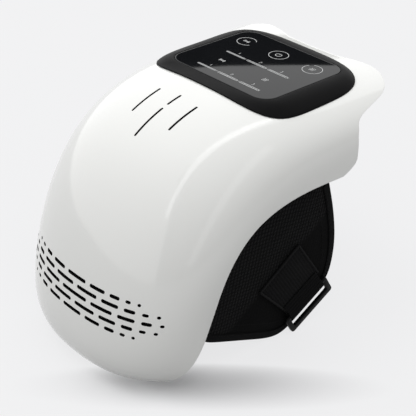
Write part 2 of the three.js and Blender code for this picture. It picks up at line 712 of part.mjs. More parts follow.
function makeLiner() {
  const lipDepths = () => [SHELL_WALL / 2, SHELL_WALL / 2];
  const tray = sheetSolid(
    linerAlongs,
    linerSides,
    (along, side) => linerPoint(along, side, inLip(along, side) ? lipDepths : linerDepths),
    (along, side) => linerPoint(along, side, belowLiner(LINER_WALL)),
  );
  const cups = screwFits.map((fit) => rod(fit.cupFoot, fit.cupTop, headBoreRadius + CUP_WALL, ROD_STEPS));
  const posts = boardPosts.map(({ x, y }) => rod(
    new THREE.Vector3(x, y, heightOver(x, y, linerDepths) - LINER_WALL / 2),
    new THREE.Vector3(x, y, boardBottom - SEAT_GAP),
    POST_RADIUS,
    ROD_STEPS,
  ));
  const bores = screwFits.flatMap((fit) => [
    rod(fit.mouth, fit.cupFloor, headBoreRadius, ROD_STEPS),
    rod(fit.mouth, fit.cupTop.clone().addScaledVector(fit.inward, -CUT_OVERRUN), boreRadius, ROD_STEPS),
  ]);
  const portHole = block(
    new THREE.Vector3(-PORT_WIDTH / 2 - SEAT_GAP, boardRear, boardBottom + BOARD_THICKNESS - SEAT_GAP),
    new THREE.Vector3(PORT_WIDTH / 2 + SEAT_GAP, SHELL_LENGTH / 2, boardBottom + BOARD_THICKNESS
      + PORT_HEIGHT + SEAT_GAP),
  );
  const seated = solidOf(tray).intersect(housing).add(joined([...cups, ...posts]));
  const solid = without(seated, [...bores, portHole]);
  model.add(makeMesh('inner_shell', geometryOf(solid), 0x2b2c2e, 0.55));
}

function makeVentScreen() {
  const [from, to] = SCREEN_SPAN_SHARES;
  const face = (depth) => (along, side) => layerPoint(along * rimAt(side), side, depth);
  const alongs = shellAlongs.filter((along) => along >= from && along <= to);
  const sides = shellSides.filter((side) => Math.abs(side) <= SCREEN_SIDE_SHARE);
  const top = SHELL_WALL + SEAT_GAP;
  const cloth = sheetSolid(alongs, sides, face(top), face(top + SCREEN_THICKNESS));
  model.add(makeMesh('vent_screen', cloth, BLACK, 0.95));
}

// Control panel

const panelGroup = new THREE.Group();
panelGroup.position.set(0, panelCentre, panelHeight);
panelGroup.rotation.x = -PANEL_TILT;
panelGroup.updateMatrix();

function makeBezel() {
  const recess = lensRing(-SEAT_GAP);
  const window = lensRing(LENS_LEDGE);
  const onPanel = ({ x, y }, height) => (
    new THREE.Vector3(x, y + LENS_OFFSET, height).applyMatrix4(panelGroup.matrix)
  );
  const overShell = (spot, inset, lift) => {
    const { x, y } = panelPoint(spot, inset);
    return new THREE.Vector3(x, y + panelCentre, heightOver(x, y + panelCentre, shellDepths) + lift);
  };
  const ledgeTop = -LENS_THICKNESS - SEAT_GAP;
  const sections = lensRing(0).map((spot, k) => {
    const rim = overShell(spot, 0, SEAT_GAP + BEZEL_EDGE);
    const brow = onPanel(recess[k], 0);
    const slope = [3 / 4, 1 / 2, 1 / 4].map((share) => {
      const point = brow.clone().lerp(rim, share);
      point.z = THREE.MathUtils.lerp(brow.z, rim.z, share ** (1 / BEZEL_ROLL_SHARE));
      return point;
    });
    return [
      overShell(spot, 0, SEAT_GAP),
      rim,
      ...slope,
      brow,
      onPanel(recess[k], ledgeTop),
      onPanel(window[k], ledgeTop),
      onPanel(window[k], ledgeTop - LEDGE_THICKNESS),
      overShell(spot, PANEL_LEDGE + SEAT_GAP + SPIGOT_WALL, -SHELL_WALL),
      overShell(spot, PANEL_LEDGE + SEAT_GAP + SPIGOT_WALL, -SPIGOT_DEPTH),
      overShell(spot, PANEL_LEDGE + SEAT_GAP, -SPIGOT_DEPTH),
      overShell(spot, PANEL_LEDGE + SEAT_GAP, SEAT_GAP),
    ];
  });
  model.add(makeMesh('panel_bezel', sweptSolid(sections), BLACK, 0.42));
}

const panelPlate = (inset, thickness) => plate(
  plateShape(2 * (LENS_HALF_WIDTH - inset), 2 * (lensHalfLength - inset), LENS_CORNER - inset),
  thickness,
);

/** Places of the lamps on the display: keys, level bars and the two signs between the bars. */
function displayWindows() {
  const window = (x, y, width, length, corner) => ({ x, y, width, length, corner });
  const keys = [-1, 0, 1].map((k) => (
    window(k * KEY_SPACING, KEY_ROW, KEY_WINDOW, KEY_WINDOW, KEY_WINDOW / 3)
  ));
  const bars = BAR_ROWS.flatMap((y) => [-1, 0, 1].map((k) => (
    window(k * BAR_SPACING, y, BAR_LENGTH, BAR_WIDTH, 0)
  )));
  const icons = [-1, 1].map((k) => (
    window((k * ICON_SPACING) / 2, ICON_ROW, ICON_WINDOW, ICON_WINDOW, 0)
  ));
  return [...keys, ...bars, ...icons];
}

function makeDisplay() {
  const lens = makeMesh('touch_lens', panelPlate(0, LENS_THICKNESS), 0x0d0e10, 0.06);
  lens.position.set(0, LENS_OFFSET, -LENS_THICKNESS);
  const windows = displayWindows();
  const inset = LENS_LEDGE + SEAT_GAP;
  const cutters = windows.map(({ x, y, width, length, corner }) => (
    plate(plateShape(width, length, corner), LIGHT_SHIELD_THICKNESS + 2 * CUT_OVERRUN, COARSE_STEPS)
      .translate(x, y, -CUT_OVERRUN)
  ));
  const shieldBody = without(solidOf(panelPlate(inset, LIGHT_SHIELD_THICKNESS)), cutters);
  const shield = makeMesh('light_shield', geometryOf(shieldBody), BLACK, 0.8);
  shield.position.set(0, LENS_OFFSET, -LENS_THICKNESS - SEAT_GAP - LIGHT_SHIELD_THICKNESS);
  const lamps = windows.map(({ x, y }) => block(
    new THREE.Vector3(x - LAMP_SIZE / 2, y - BAR_WIDTH / 3, BOARD_THICKNESS / 2),
    new THREE.Vector3(x + LAMP_SIZE / 2, y + BAR_WIDTH / 3, BOARD_THICKNESS + LAMP_HEIGHT),
  ));
  const board = makeMesh(
    'display_board',
    geometryOf(joined([panelPlate(inset, BOARD_THICKNESS), ...lamps])),
    BOARD_GREEN,
    0.5,
  );
  board.position.set(0, LENS_OFFSET, shield.position.z - SEAT_GAP - BOARD_THICKNESS);
  panelGroup.add(lens, shield, board);
  model.add(panelGroup);
}

// Control board, socket and batteries

function makeMainBoard() {
  const boardTop = BOARD_THICKNESS;
  const chips = [-1, 1].map((side) => block(
    new THREE.Vector3(side * CHIP_SIZE - CHIP_SIZE / 2, -CHIP_SIZE / 2, boardTop / 2),
    new THREE.Vector3(side * CHIP_SIZE + CHIP_SIZE / 2, CHIP_SIZE / 2, boardTop + CHIP_HEIGHT),
  ));
  const relays = [-1, 1].map((side) => block(
    new THREE.Vector3(side * RELAY_SPACING - RELAY_SIZE / 2, -2 * RELAY_SIZE, boardTop / 2),
    new THREE.Vector3(side * RELAY_SPACING + RELAY_SIZE / 2, -RELAY_SIZE, boardTop + RELAY_HEIGHT),
  ));
  const sheet = plate(plateShape(MAIN_BOARD_WIDTH, MAIN_BOARD_LENGTH, POST_RADIUS), BOARD_THICKNESS);
  const board = makeMesh('main_board', geometryOf(joined([sheet, ...chips, ...relays])), BOARD_GREEN, 0.5);
  board.position.set(0, boardMiddle, boardBottom);
  model.add(board);

  const bodyShape = slotShape(PORT_WIDTH, PORT_HEIGHT);
  const pocketShape = slotShape(PORT_WIDTH - 2 * PORT_WALL, PORT_HEIGHT - 2 * PORT_WALL);
  const pocket = plate(pocketShape, PORT_LENGTH).translate(0, 0, PORT_BACK);
  const tongue = block(
    new THREE.Vector3(-PORT_WIDTH / 4, -PORT_TONGUE / 2, PORT_BACK / 2),
    new THREE.Vector3(PORT_WIDTH / 4, PORT_TONGUE / 2, PORT_LENGTH - PORT_BACK),
  );
  const socket = without(solidOf(plate(bodyShape, PORT_LENGTH)), [pocket]).add(solidOf(tongue));
  const port = makeMesh('charging_port', geometryOf(socket), 0xa9acb0, 0.3, 1);
  port.rotation.x = -Math.PI / 2;
  port.position.set(0, linerRear - PORT_LENGTH, boardBottom + BOARD_THICKNESS + PORT_HEIGHT / 2);
  model.add(port);
}

function makeBatteries() {
  const seat = seatOnLiner(TRAY_STATION_SHARE, 0);
  const halfWidth = CELL_WIDTH + 2 * SEAT_GAP + (3 * TRAY_WALL) / 2;
  const halfLength = CELL_LENGTH / 2 + SEAT_GAP + TRAY_WALL;
  const top = TRAY_WALL + SEAT_GAP + CELL_THICKNESS / 2;
  const carrier = block(
    new THREE.Vector3(-halfWidth, -halfLength, -TRAY_SKIRT),
    new THREE.Vector3(halfWidth, halfLength, top),
  );
  const hollow = block(
    new THREE.Vector3(TRAY_WALL - halfWidth, TRAY_WALL - halfLength, -TRAY_SKIRT - CUT_OVERRUN),
    new THREE.Vector3(halfWidth - TRAY_WALL, halfLength - TRAY_WALL, 0),
  );
  const offset = (CELL_WIDTH + TRAY_WALL) / 2 + SEAT_GAP;
  const pockets = [-1, 1].map((side) => block(
    new THREE.Vector3(side * offset - CELL_WIDTH / 2 - SEAT_GAP, TRAY_WALL - halfLength, TRAY_WALL),
    new THREE.Vector3(side * offset + CELL_WIDTH / 2 + SEAT_GAP, halfLength - TRAY_WALL, top + CUT_OVERRUN),
  ));
  const tray = fittedInCavity(seat, without(solidOf(carrier), [hollow, ...pockets]));
  seat.add(makeMesh('battery_tray', tray, 0x3a3b3e, 0.6));
  [['battery_cell_right', 1], ['battery_cell_left', -1]].forEach(([name, side]) => {
    const shape = plateShape(CELL_WIDTH, CELL_LENGTH, CELL_THICKNESS / 2);
    const cell = makeMesh(name, plate(shape, CELL_THICKNESS), 0x9fa6ad, 0.35, 0.6);
    cell.position.set(side * offset, 0, TRAY_WALL + SEAT_GAP);
    seat.add(cell);
  });
  model.add(seat);
}

// Vibration motors

function makeMotor(word, side) {
  const seat = seatOnLiner(MOTOR_STATION_SHARE, side * MOTOR_SIDE_SHARE);
  const axisHeight = MOTOR_AXIS_LIFT;
  const half = MOTOR_LENGTH / 2;
  const shaftBore = MOTOR_SHAFT_RADIUS + BORE_GAP;
  const canProfile = [
    [0, -half], [MOTOR_RADIUS - MOTOR_BOSS / 2, -half], [MOTOR_RADIUS, MOTOR_BOSS / 2 - half],
    [MOTOR_RADIUS, half - MOTOR_BOSS / 2], [MOTOR_RADIUS - MOTOR_BOSS / 2, half],
    [WEIGHT_HUB_RADIUS, half], [WEIGHT_HUB_RADIUS, half + MOTOR_BOSS / 2],
    [shaftBore, half + MOTOR_BOSS / 2], [shaftBore, half - MOTOR_SHAFT_SEAT - BORE_GAP],
    [0, half - MOTOR_SHAFT_SEAT - BORE_GAP],
  ].map(([x, y]) => new THREE.Vector2(x, y));
  const turned = new THREE.LatheGeometry(canProfile, ROUND_STEPS);
  const can = makeMesh(`motor_can_${word}`, turned, STEEL, 0.3, 1);
  can.position.z = axisHeight;
  can.rotation.z = side * (-Math.PI / 2);

  const cradle = block(
    new THREE.Vector3(-BRACKET_LENGTH / 2, -MOTOR_RADIUS - BRACKET_WALL, -BRACKET_SKIRT),
    new THREE.Vector3(BRACKET_LENGTH / 2, MOTOR_RADIUS + BRACKET_WALL, axisHeight + BRACKET_GRIP),
  );
  const bed = rod(
    new THREE.Vector3(-BRACKET_LENGTH, 0, axisHeight),
    new THREE.Vector3(BRACKET_LENGTH, 0, axisHeight),
    MOTOR_RADIUS + SEAT_GAP,
    2 * ROUND_STEPS,
  );
  const bracket = fittedInCavity(seat, without(solidOf(cradle), [bed]));
  seat.add(can, makeMesh(`motor_bracket_${word}`, bracket, 0x3a3b3e, 0.6));

  const spin = new THREE.Group();
  spin.position.set(side * (half + MOTOR_BOSS / 2 + WEIGHT_STANDOFF), 0, axisHeight);
  spin.rotation.z = side * (-Math.PI / 2);
  const sector = new THREE.Shape();
  sector.absarc(0, 0, WEIGHT_RADIUS, 0, Math.PI, false);
  sector.absarc(0, 0, WEIGHT_HUB_RADIUS, Math.PI, 2 * Math.PI, false);
  sector.closePath();
  const lobe = plate(sector, WEIGHT_THICKNESS, ROUND_STEPS / 2).rotateX(-Math.PI / 2);
  const shaft = rod(
    new THREE.Vector3(0, -MOTOR_SHAFT_SEAT - WEIGHT_STANDOFF - MOTOR_BOSS / 2, 0),
    new THREE.Vector3(0, WEIGHT_THICKNESS + MOTOR_SHAFT_RADIUS, 0),
    MOTOR_SHAFT_RADIUS,
    ROD_STEPS,
  );
  spin.add(makeMesh(`eccentric_weight_${word}`, geometryOf(joined([lobe, shaft])), 0x8e8a80, 0.4, 1));
  seat.add(spin);
  model.add(seat);
}

// Heater and padded lining

const underLiner = LINER_WALL + SEAT_GAP;
const underFilm = underLiner + FILM_THICKNESS + SEAT_GAP;
const underWing = underLiner + WING_THICKNESS + 2 * SEAT_GAP;
const padDepths = (drop) => (place) => [
  belowLiner(underFilm)(place)[0] + drop,
  belowLiner(underWing)(place)[1] + drop,
];

function makeHeatingFilm() {
  const [from, to] = FILM_SPAN_SHARES;
  const alongs = linerAlongs.filter((along) => along >= from && along <= to);
  const sides = linerSides.filter((side) => Math.abs(side) <= FILM_SIDE_SHARE);
  const film = linerSheet(alongs, sides, belowLiner(underLiner), belowLiner(underLiner + FILM_THICKNESS));
  model.add(makeMesh('heating_film', film, 0xb5672a, 0.5));
}

/** Thickness of the lining: crowned between its sewn channels and drawn in at its edges. */
function padThicknessAt(along, across) {
  const crown = (share, panels) => Math.sin(Math.PI * ((share * panels) % 1)) ** (1 / 2);
  const swell = crown(along, PAD_PANELS_ALONG) * crown(across, PAD_PANELS_ACROSS);
  const edge = Math.min(along, 1 - along, across, 1 - across) * 2 * PAD_PANELS_ACROSS;
  const channel = PAD_THICKNESS * THREE.MathUtils.lerp(PAD_CHANNEL_SHARE, 1, Math.abs(swell));
  return edge < 1 ? THREE.MathUtils.lerp(PAD_EDGE_THICKNESS, channel, Math.sqrt(edge)) : channel;
}

function makeKneePad() {
  const [start, end] = PAD_SPAN_SHARES;
  const point = (along, across, depths) => {
    const side = THREE.MathUtils.lerp(-PAD_SIDE_SHARE, PAD_SIDE_SHARE, across);
    const place = THREE.MathUtils.lerp(start, linerRimAt(side) - end, along);
    return layerPoint(place, side, ...depths(place));
  };
  const pad = sheetSolid(
    spread(0, 1, PAD_CELLS * PAD_PANELS_ALONG),
    spread(0, 1, PAD_CELLS * PAD_PANELS_ACROSS),
    (along, across) => point(along, across, padDepths(-LINER_WALL / 2)),
    (along, across) => point(along, across, padDepths(padThicknessAt(along, across))),
  );
  const above = linerSheet(linerAlongs, linerSides, linerDepths, padDepths(0));
  model.add(makeMesh('knee_pad', geometryOf(without(solidOf(pad), [above])), 0x2a2a2c, 0.95));
}

// Side wings. Their shapes are drawn for the right side of the object and mirrored for the left.

const [wingStart, wingEnd] = WING_SPAN_SHARES;
const wingMiddleDepths = belowLiner(underLiner + WING_THICKNESS / 2);
const chordStart = layerPoint(wingStart, 1, ...wingMiddleDepths(wingStart));
const chordEnd = layerPoint(wingEnd, 1, ...wingMiddleDepths(wingEnd));
const chordRun = new THREE.Vector3().subVectors(chordEnd, chordStart);
const chordLength = chordRun.length();
chordRun.normalize();
const flatOut = new THREE.Vector3(1, 0, 0).addScaledVector(chordRun, -chordRun.x).normalize();
const flatDown = new THREE.Vector3().crossVectors(chordRun, flatOut);
const wingOut = flatOut.clone().multiplyScalar(Math.cos(WING_TOE_IN))
  .addScaledVector(flatDown, Math.sin(WING_TOE_IN));
const wingDown = flatDown.clone().multiplyScalar(Math.cos(WING_TOE_IN))
  .addScaledVector(flatOut, -Math.sin(WING_TOE_IN));
chordStart.addScaledVector(flatDown, WING_DROP);

/** A point of the wing: along its chord, down from the chord, and out of its plane. */
const wingPoint = (along, down, out) => chordStart.clone()
  .addScaledVector(chordRun, along)
  .addScaledVector(wingDown, down)
  .addScaledVector(wingOut, out);

/** The free edge of the wing moved inward, at a place from 0 at the shin to 1 at the thigh. */
function wingEdge(place, inset) {
  const spot = (share) => {
    const [along, down] = splineRow(WING_OUTLINE_SHARES, share);
    return new THREE.Vector2(along * chordLength, down * WING_DEPTH);
  };
  const run = spot(place + SLOPE_STEP_SHARE).sub(spot(place - SLOPE_STEP_SHARE)).normalize();
  return spot(place).add(new THREE.Vector2(run.y, -run.x).multiplyScalar(inset));
}

/** The part of a wing that is held between liner and lining and comes out round the shell's edge. */
function wingRoot() {
  const face = (out) => (row, share) => {
    const place = THREE.MathUtils.lerp(wingStart, wingEnd, share);
    const drop = underLiner + (out > 0 ? 0 : WING_THICKNESS);
    const tucked = row <= 1 && out > 0 ? drop - LINER_WALL / 2 : drop;
    const side = THREE.MathUtils.lerp(WING_TUCK_SHARE, 1, Math.min(row, 1));
    const spot = layerPoint(place, side, ...belowLiner(tucked)(place));
    const chord = wingPoint(share * chordLength, -FLEX_GAP / 2, (out * WING_THICKNESS) / 2);
    return row > 1 ? spot.lerp(chord, row - 1) : spot;
  };
  const sheet = sheetSolid([0, 1 / 2, 1, 3 / 2, 2], spread(0, 1, WING_STEPS / 2), face(1), face(-1));
  const above = linerSheet(linerAlongs, [-1, ...linerSides, 1], linerDepths, belowLiner(underLiner));
  return geometryOf(without(solidOf(sheet), [above]));
}

const flapInset = BINDING_WALL + SEAT_GAP;

/** The free part of a wing, thinner where its edge is bound. */
function wingFlap() {
  const outline = spread(0, 1, WING_STEPS).map((share) => wingEdge(share, 0));
  const [start, end] = [0, 1].map((share) => wingEdge(share, flapInset).x);
  const face = (out) => (down, share) => {
    const edge = wingEdge(share, flapInset);
    const along = THREE.MathUtils.lerp(THREE.MathUtils.lerp(start, end, share), edge.x, down);
    const foot = Math.max(edge.y, FLEX_GAP);
    const spot = new THREE.Vector2(along, THREE.MathUtils.lerp(FLEX_GAP / 2, foot, down));
    const inside = Math.min(...outline.map((point) => point.distanceTo(spot))) / BINDING_WIDTH - 1;
    const full = THREE.MathUtils.clamp(inside, 0, 1);
    const thickness = THREE.MathUtils.lerp(WING_EDGE_THICKNESS, WING_THICKNESS, full);
    return wingPoint(spot.x, spot.y, (out * thickness) / 2);
  };
  return sheetSolid(FLAP_ROW_SHARES, spread(0, 1, WING_STEPS), face(1), face(-1));
}

function wingBinding() {
  const half = WING_EDGE_THICKNESS / 2 + SEAT_GAP;
  const outer = half + BINDING_WALL;
  const hook = [
    [0, -outer], [BINDING_WIDTH, -outer], [BINDING_WIDTH, -half], [BINDING_WALL, -half],
    [BINDING_WALL, half], [BINDING_WIDTH, half], [BINDING_WIDTH, outer], [0, outer],
  ].map(([x, y]) => new THREE.Vector2(x, y));
  const sections = spread(0, 1, WING_STEPS).map((share) => hook.map(({ x, y }) => {
    const edge = wingEdge(share, x);
    return wingPoint(edge.x, Math.max(edge.y, FLEX_GAP), y);
  }));
  return sweptSolid(sections, THREE.ShapeUtils.triangulateShape(hook, []));
}

/** Directions of the buckle: along its bar, the way it hangs, and out from the wing. */
const [buckleAlongShare, buckleDownShare] = BUCKLE_PLACE_SHARES;
const barRun = chordRun.clone().multiplyScalar(Math.cos(BUCKLE_TURN))
  .addScaledVector(wingDown, Math.sin(BUCKLE_TURN));
const strapDown = wingDown.clone().multiplyScalar(Math.cos(BUCKLE_TURN))
  .addScaledVector(chordRun, -Math.sin(BUCKLE_TURN));
const loopBore = BUCKLE_BAR_RADIUS + SEAT_GAP;
const loopRadius = loopBore + TAB_THICKNESS;
const tabFoot = WING_THICKNESS / 2 + SEAT_GAP;
const buckleCentre = wingPoint(
  buckleAlongShare * chordLength,
  buckleDownShare * WING_DEPTH,
  tabFoot + loopRadius,
);

/** Webbing loop in section: x runs down the strap, y out from the wing, round the buckle's bar. */
function loopShape(inset) {
  const radius = loopRadius - inset;
  const foot = new THREE.Vector2(
    inset * LOOP_HOLE_SETBACK_SHARE - LOOP_LENGTH,
    TAB_THICKNESS - loopRadius + inset * LOOP_HOLE_LIFT_SHARE,
  );
  const apart = Math.acos(radius / foot.length());
  const touch = Math.atan2(foot.y, foot.x) - apart;
  const shape = new THREE.Shape();
  shape.moveTo(foot.x, inset > 0 ? foot.y - (inset * LOOP_HOLE_LIFT_SHARE) / 2 : -radius);
  shape.absarc(0, 0, radius, -Math.PI / 2, touch + 2 * Math.PI, false);
  shape.lineTo(foot.x, foot.y);
  shape.closePath();
  return shape;
}

function strapTab() {
  const corners = TAB_CORNER_SHARES.map(([along, down]) => (
    new THREE.Vector2(along * chordLength, down * WING_DEPTH)
  ));
  const patch = plate(new THREE.Shape(corners), TAB_THICKNESS);
  patch.applyMatrix4(new THREE.Matrix4().makeBasis(chordRun, wingDown, wingOut));
  const foot = wingPoint(0, 0, tabFoot);
  patch.translate(foot.x, foot.y, foot.z);
  const shape = loopShape(0);
  shape.holes.push(loopShape(TAB_THICKNESS));
  const loop = plate(shape, WEBBING_WIDTH, ROUND_STEPS).translate(0, 0, -WEBBING_WIDTH / 2);
  loop.applyMatrix4(new THREE.Matrix4().makeBasis(strapDown, wingOut, barRun));
  loop.translate(buckleCentre.x, buckleCentre.y, buckleCentre.z);
  return joined([bodyFacingOut(patch), bodyFacingOut(loop)]);
}

/** The same body with its faces turned outward, after a move that may have turned it inside out. */
function bodyFacingOut(geometry) {
  const merged = mergeVertices(geometry.clone().deleteAttribute('normal').deleteAttribute('uv'));
  const { array } = merged.attributes.position;
  const points = Array.from({ length: array.length / 3 }, (_, k) => (
    new THREE.Vector3().fromArray(array, 3 * k)
  ));
  const faces = Array.from({ length: merged.index.count / 3 }, (_, k) => (
    [0, 1, 2].map((corner) => merged.index.array[3 * k + corner])
  ));
  return bodyFrom(points, faces);
}

/** The buckle in its own axes: x along its bar, y the way it hangs, z through it. */
function buckleBody() {
  const ringShape = plateShape(BUCKLE_WIDTH, BUCKLE_LENGTH, BUCKLE_CORNER);
  const openingWidth = WEBBING_WIDTH + 2 * BUCKLE_SIDE_PLAY;
  const openingLength = BUCKLE_LENGTH - BUCKLE_RAIL + CUT_OVERRUN;
  const opening = plateShape(openingWidth, openingLength, BUCKLE_CORNER / 2);
  const ring = plate(ringShape, BUCKLE_THICKNESS);
  const cut = plate(opening, BUCKLE_THICKNESS + 2 * CUT_OVERRUN, COARSE_STEPS)
    .translate(0, -(BUCKLE_RAIL + CUT_OVERRUN) / 2, -CUT_OVERRUN);
  const frame = without(solidOf(ring), [cut]);
  const barEnd = openingWidth / 2 + BUCKLE_BAR_RADIUS;
  const barHeight = BUCKLE_BAR_RADIUS - BUCKLE_LENGTH / 2;
  const bar = rod(
    new THREE.Vector3(-barEnd, barHeight, BUCKLE_THICKNESS / 2),
    new THREE.Vector3(barEnd, barHeight, BUCKLE_THICKNESS / 2),
    BUCKLE_BAR_RADIUS,
    BAR_STEPS,
  );
  const body = geometryOf(frame.add(solidOf(bar)));
  return body.translate(0, BUCKLE_LENGTH / 2 - BUCKLE_BAR_RADIUS, -BUCKLE_THICKNESS / 2);
}

function makeWing(word, side) {
  const sided = (geometry) => (side > 0 ? geometry : mirrored(geometry));
  const toSide = (vector) => new THREE.Vector3(side * vector.x, vector.y, vector.z);
  model.add(
    makeMesh(`wing_root_${word}`, sided(wingRoot()), BLACK, 0.95),
    makeMesh(`wing_flap_${word}`, sided(wingFlap()), BLACK, 0.95),
    makeMesh(`wing_binding_${word}`, sided(wingBinding()), BLACK, 0.9),
    makeMesh(`strap_tab_${word}`, sided(geometryOf(strapTab())), BLACK, 0.85),
  );
  const bar = toSide(barRun);
  const down = new THREE.Vector3(0, 0, -1).addScaledVector(bar, bar.z).normalize();
  const out = new THREE.Vector3().crossVectors(bar, down);
  const hang = framed(toSide(buckleCentre), bar, down, out);
  hang.add(makeMesh(`buckle_${word}`, buckleBody(), BLACK, 0.5));
  model.add(hang);
}

makeOuterShell();
makeLiner();
makeScrews();
makeVentScreen();
makeBezel();
makeDisplay();
makeMainBoard();
makeBatteries();
makeMotor('right', 1);
makeMotor('left', -1);
makeHeatingFilm();
makeKneePad();
makeWing('right', 1);
makeWing('left', -1);

// The origin is under the middle of the object, on the surface it stands on
model.rotation.x = STANDING_TILT;
const bounds = new THREE.Box3().setFromObject(model, true);
model.position.set(0, -(bounds.min.y + bounds.max.y) / 2, -bounds.min.z);
model.updateMatrixWorld(true);

export default model;
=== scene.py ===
"""Looks of a heated knee massager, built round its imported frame, in metres and in the frame's own axes."""

import json
import logging
import math
from dataclasses import dataclass
from enum import Enum
from typing import Any, Callable, Mapping, Sequence

import bmesh
import bpy
import numpy as np
from mathutils import Matrix, Vector

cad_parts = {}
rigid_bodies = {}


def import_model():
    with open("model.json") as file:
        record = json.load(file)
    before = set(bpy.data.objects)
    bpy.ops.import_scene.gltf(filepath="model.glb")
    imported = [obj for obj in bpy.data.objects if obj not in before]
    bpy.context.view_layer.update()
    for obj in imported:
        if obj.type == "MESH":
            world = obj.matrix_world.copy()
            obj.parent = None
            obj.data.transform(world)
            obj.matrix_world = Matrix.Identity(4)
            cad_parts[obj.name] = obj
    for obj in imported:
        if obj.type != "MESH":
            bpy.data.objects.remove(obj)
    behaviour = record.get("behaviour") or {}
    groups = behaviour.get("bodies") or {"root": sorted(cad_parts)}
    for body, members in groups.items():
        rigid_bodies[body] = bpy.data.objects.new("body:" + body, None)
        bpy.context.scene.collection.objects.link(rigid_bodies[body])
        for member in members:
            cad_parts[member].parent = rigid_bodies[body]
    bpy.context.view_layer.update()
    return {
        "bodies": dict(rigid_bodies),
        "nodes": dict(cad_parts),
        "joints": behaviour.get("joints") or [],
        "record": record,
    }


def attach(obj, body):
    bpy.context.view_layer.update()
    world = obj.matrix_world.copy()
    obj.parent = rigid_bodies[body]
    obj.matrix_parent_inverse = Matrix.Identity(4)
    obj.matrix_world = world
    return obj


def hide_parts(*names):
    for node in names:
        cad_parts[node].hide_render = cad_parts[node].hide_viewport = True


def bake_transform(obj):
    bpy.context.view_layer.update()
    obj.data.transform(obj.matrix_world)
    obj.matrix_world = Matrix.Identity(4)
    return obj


LOG = logging.getLogger("knee_massager")
MM = 0.001
OBLIQUE = (0.31, 0.52, 0.8)  # a direction in which no tube starts
Array = np.ndarray
Pair = tuple[float, float]
Triple = tuple[float, float, float]
Color = Triple
Table = tuple[tuple[float, ...], ...]
Material = bpy.types.Material
Piece = bpy.types.Object


class Side(Enum):
    """The two sides of the leg."""

    RIGHT = 1
    LEFT = -1

    @property
    def word(self) -> str:
        """The side as it stands in piece names."""
        return self.name.lower()


class Weave(Enum):
    """How the threads of a cloth lie."""

    DIAMOND = "diamond"
    TAPE = "tape"
    RIBBED = "ribbed"
    KNIT = "knit"
    THREAD = "thread"


# Numbers and frames


def lerp(start: Any, end: Any, share: Any) -> Any:
    """The value at a share of the way from start to end."""
    return start + (end - start) * share


def unit(vectors: Array) -> Array:
    """The vectors, each scaled to length one."""
    return vectors / np.maximum(np.linalg.norm(vectors, axis=-1, keepdims=True), 1e-12)


def turned_left(run: Array) -> Array:
    """Directions in a plane, each turned left by a right angle."""
    return np.stack([-run[..., 1], run[..., 0]], -1)


def path_run(path: Array, closed: bool = False) -> Array:
    """The direction of a path at each of its points."""
    ahead = np.roll(path, -1, 0) - np.roll(path, 1, 0)
    if not closed:
        ahead[0], ahead[-1] = path[1] - path[0], path[-1] - path[-2]
    return unit(ahead)


def run_lengths(path: Array) -> Array:
    """The way along a path to each of its points."""
    return np.concatenate([[0], np.cumsum(np.linalg.norm(np.diff(path, axis=0), axis=1))])


def pairs(rows: Array, columns: Array) -> Array:
    """A grid that pairs every row's value with every column's."""
    return np.stack(np.broadcast_arrays(rows[:, None], columns[None, :]), -1)


def circle(turns: Array) -> Array:
    """Points of a circle of radius one, at angles."""
    return np.stack([np.cos(turns), np.sin(turns)], -1)


def arc(x: float, y: float, radius: float, start: float, end: float, count: int = 9) -> Array:
    """Points of an arc round a place, between two angles in degrees."""
    return (x, y) + radius * circle(np.radians(np.linspace(start, end, count)))


def ring_points(half_width: float, half_length: float, corner: float, corner_steps: int = 14,
                side_steps: int = 22) -> Array:
    """Points round a rectangle with round corners: each corner's arc, then places along the next side."""
    middles = np.array([[1, 1], [-1, 1], [-1, -1], [1, -1]]) * (half_width - corner, half_length - corner)
    arcs = [arc(*middle, corner, 90 * k, 90 * k + 90, corner_steps + 1) for k, middle in enumerate(middles)]
    shares = np.linspace(0, 1, side_steps + 1)[1:-1, None]
    points = []
    for here, following in zip(arcs, arcs[1:] + arcs[:1]):
        points += [here, lerp(here[-1], following[0], shares)]
    return np.concatenate(points)


def slot_outline(length: float, width: float, count: int = 9) -> Array:
    """A slot with round ends, along x."""
    reach = max(length - width, 0) / 2
    ends = [arc(reach, 0, width / 2, -90, 90, count), arc(-reach, 0, width / 2, 90, 270, count)]
    outline = np.concatenate(ends)
    return outline[np.linalg.norm(outline - np.roll(outline, 1, 0), axis=1) > 1e-6]


def spline_row(rows: Sequence[Sequence[float]], places: Any) -> Array:
    """Rows of a table along a smooth curve.

    Args:
        rows: The control rows.
        places: Places from 0 to 1, of any shape.

    Returns:
        The interpolated rows, in the shape of places with one more axis.
    """
    table = np.asarray(rows, float)
    last = len(table) - 1
    padded = np.vstack([2 * table[0] - table[1], table, 2 * table[-1] - table[-2]])
    run = np.clip(np.asarray(places, float), 0, 1) * last
    span = np.minimum(np.floor(run).astype(int), last - 1)
    t = run - span
    weights = (
        (1 - t) ** 3 / 6,
        (3 * t**3 - 6 * t**2 + 4) / 6,
        (-3 * t**3 + 3 * t**2 + 3 * t + 1) / 6,
        t**3 / 6,
    )
    return sum(w[..., None] * padded[span + n] for n, w in enumerate(weights))


@dataclass(frozen=True)
class Stance:
    """How the object's own millimetre axes stand on the floor."""

    tilt: float = math.radians(0.8)
    shift: Triple = (0.0, -0.577, 0.482)

    @property
    def turn(self) -> Array:
        """The rotation as a matrix."""
        c, s = math.cos(self.tilt), math.sin(self.tilt)
        return np.array([[1, 0, 0], [0, c, -s], [0, s, c]])

    def world(self, points: Array) -> Array:
        """Points of the object in metres on the floor."""
        return (np.asarray(points, float) @ self.turn.T + np.array(self.shift)) * MM

    def direction(self, vector: Array) -> Array:
        """A direction of the object as it stands on the floor."""
        return np.asarray(vector, float) @ self.turn.T


STANCE = Stance()


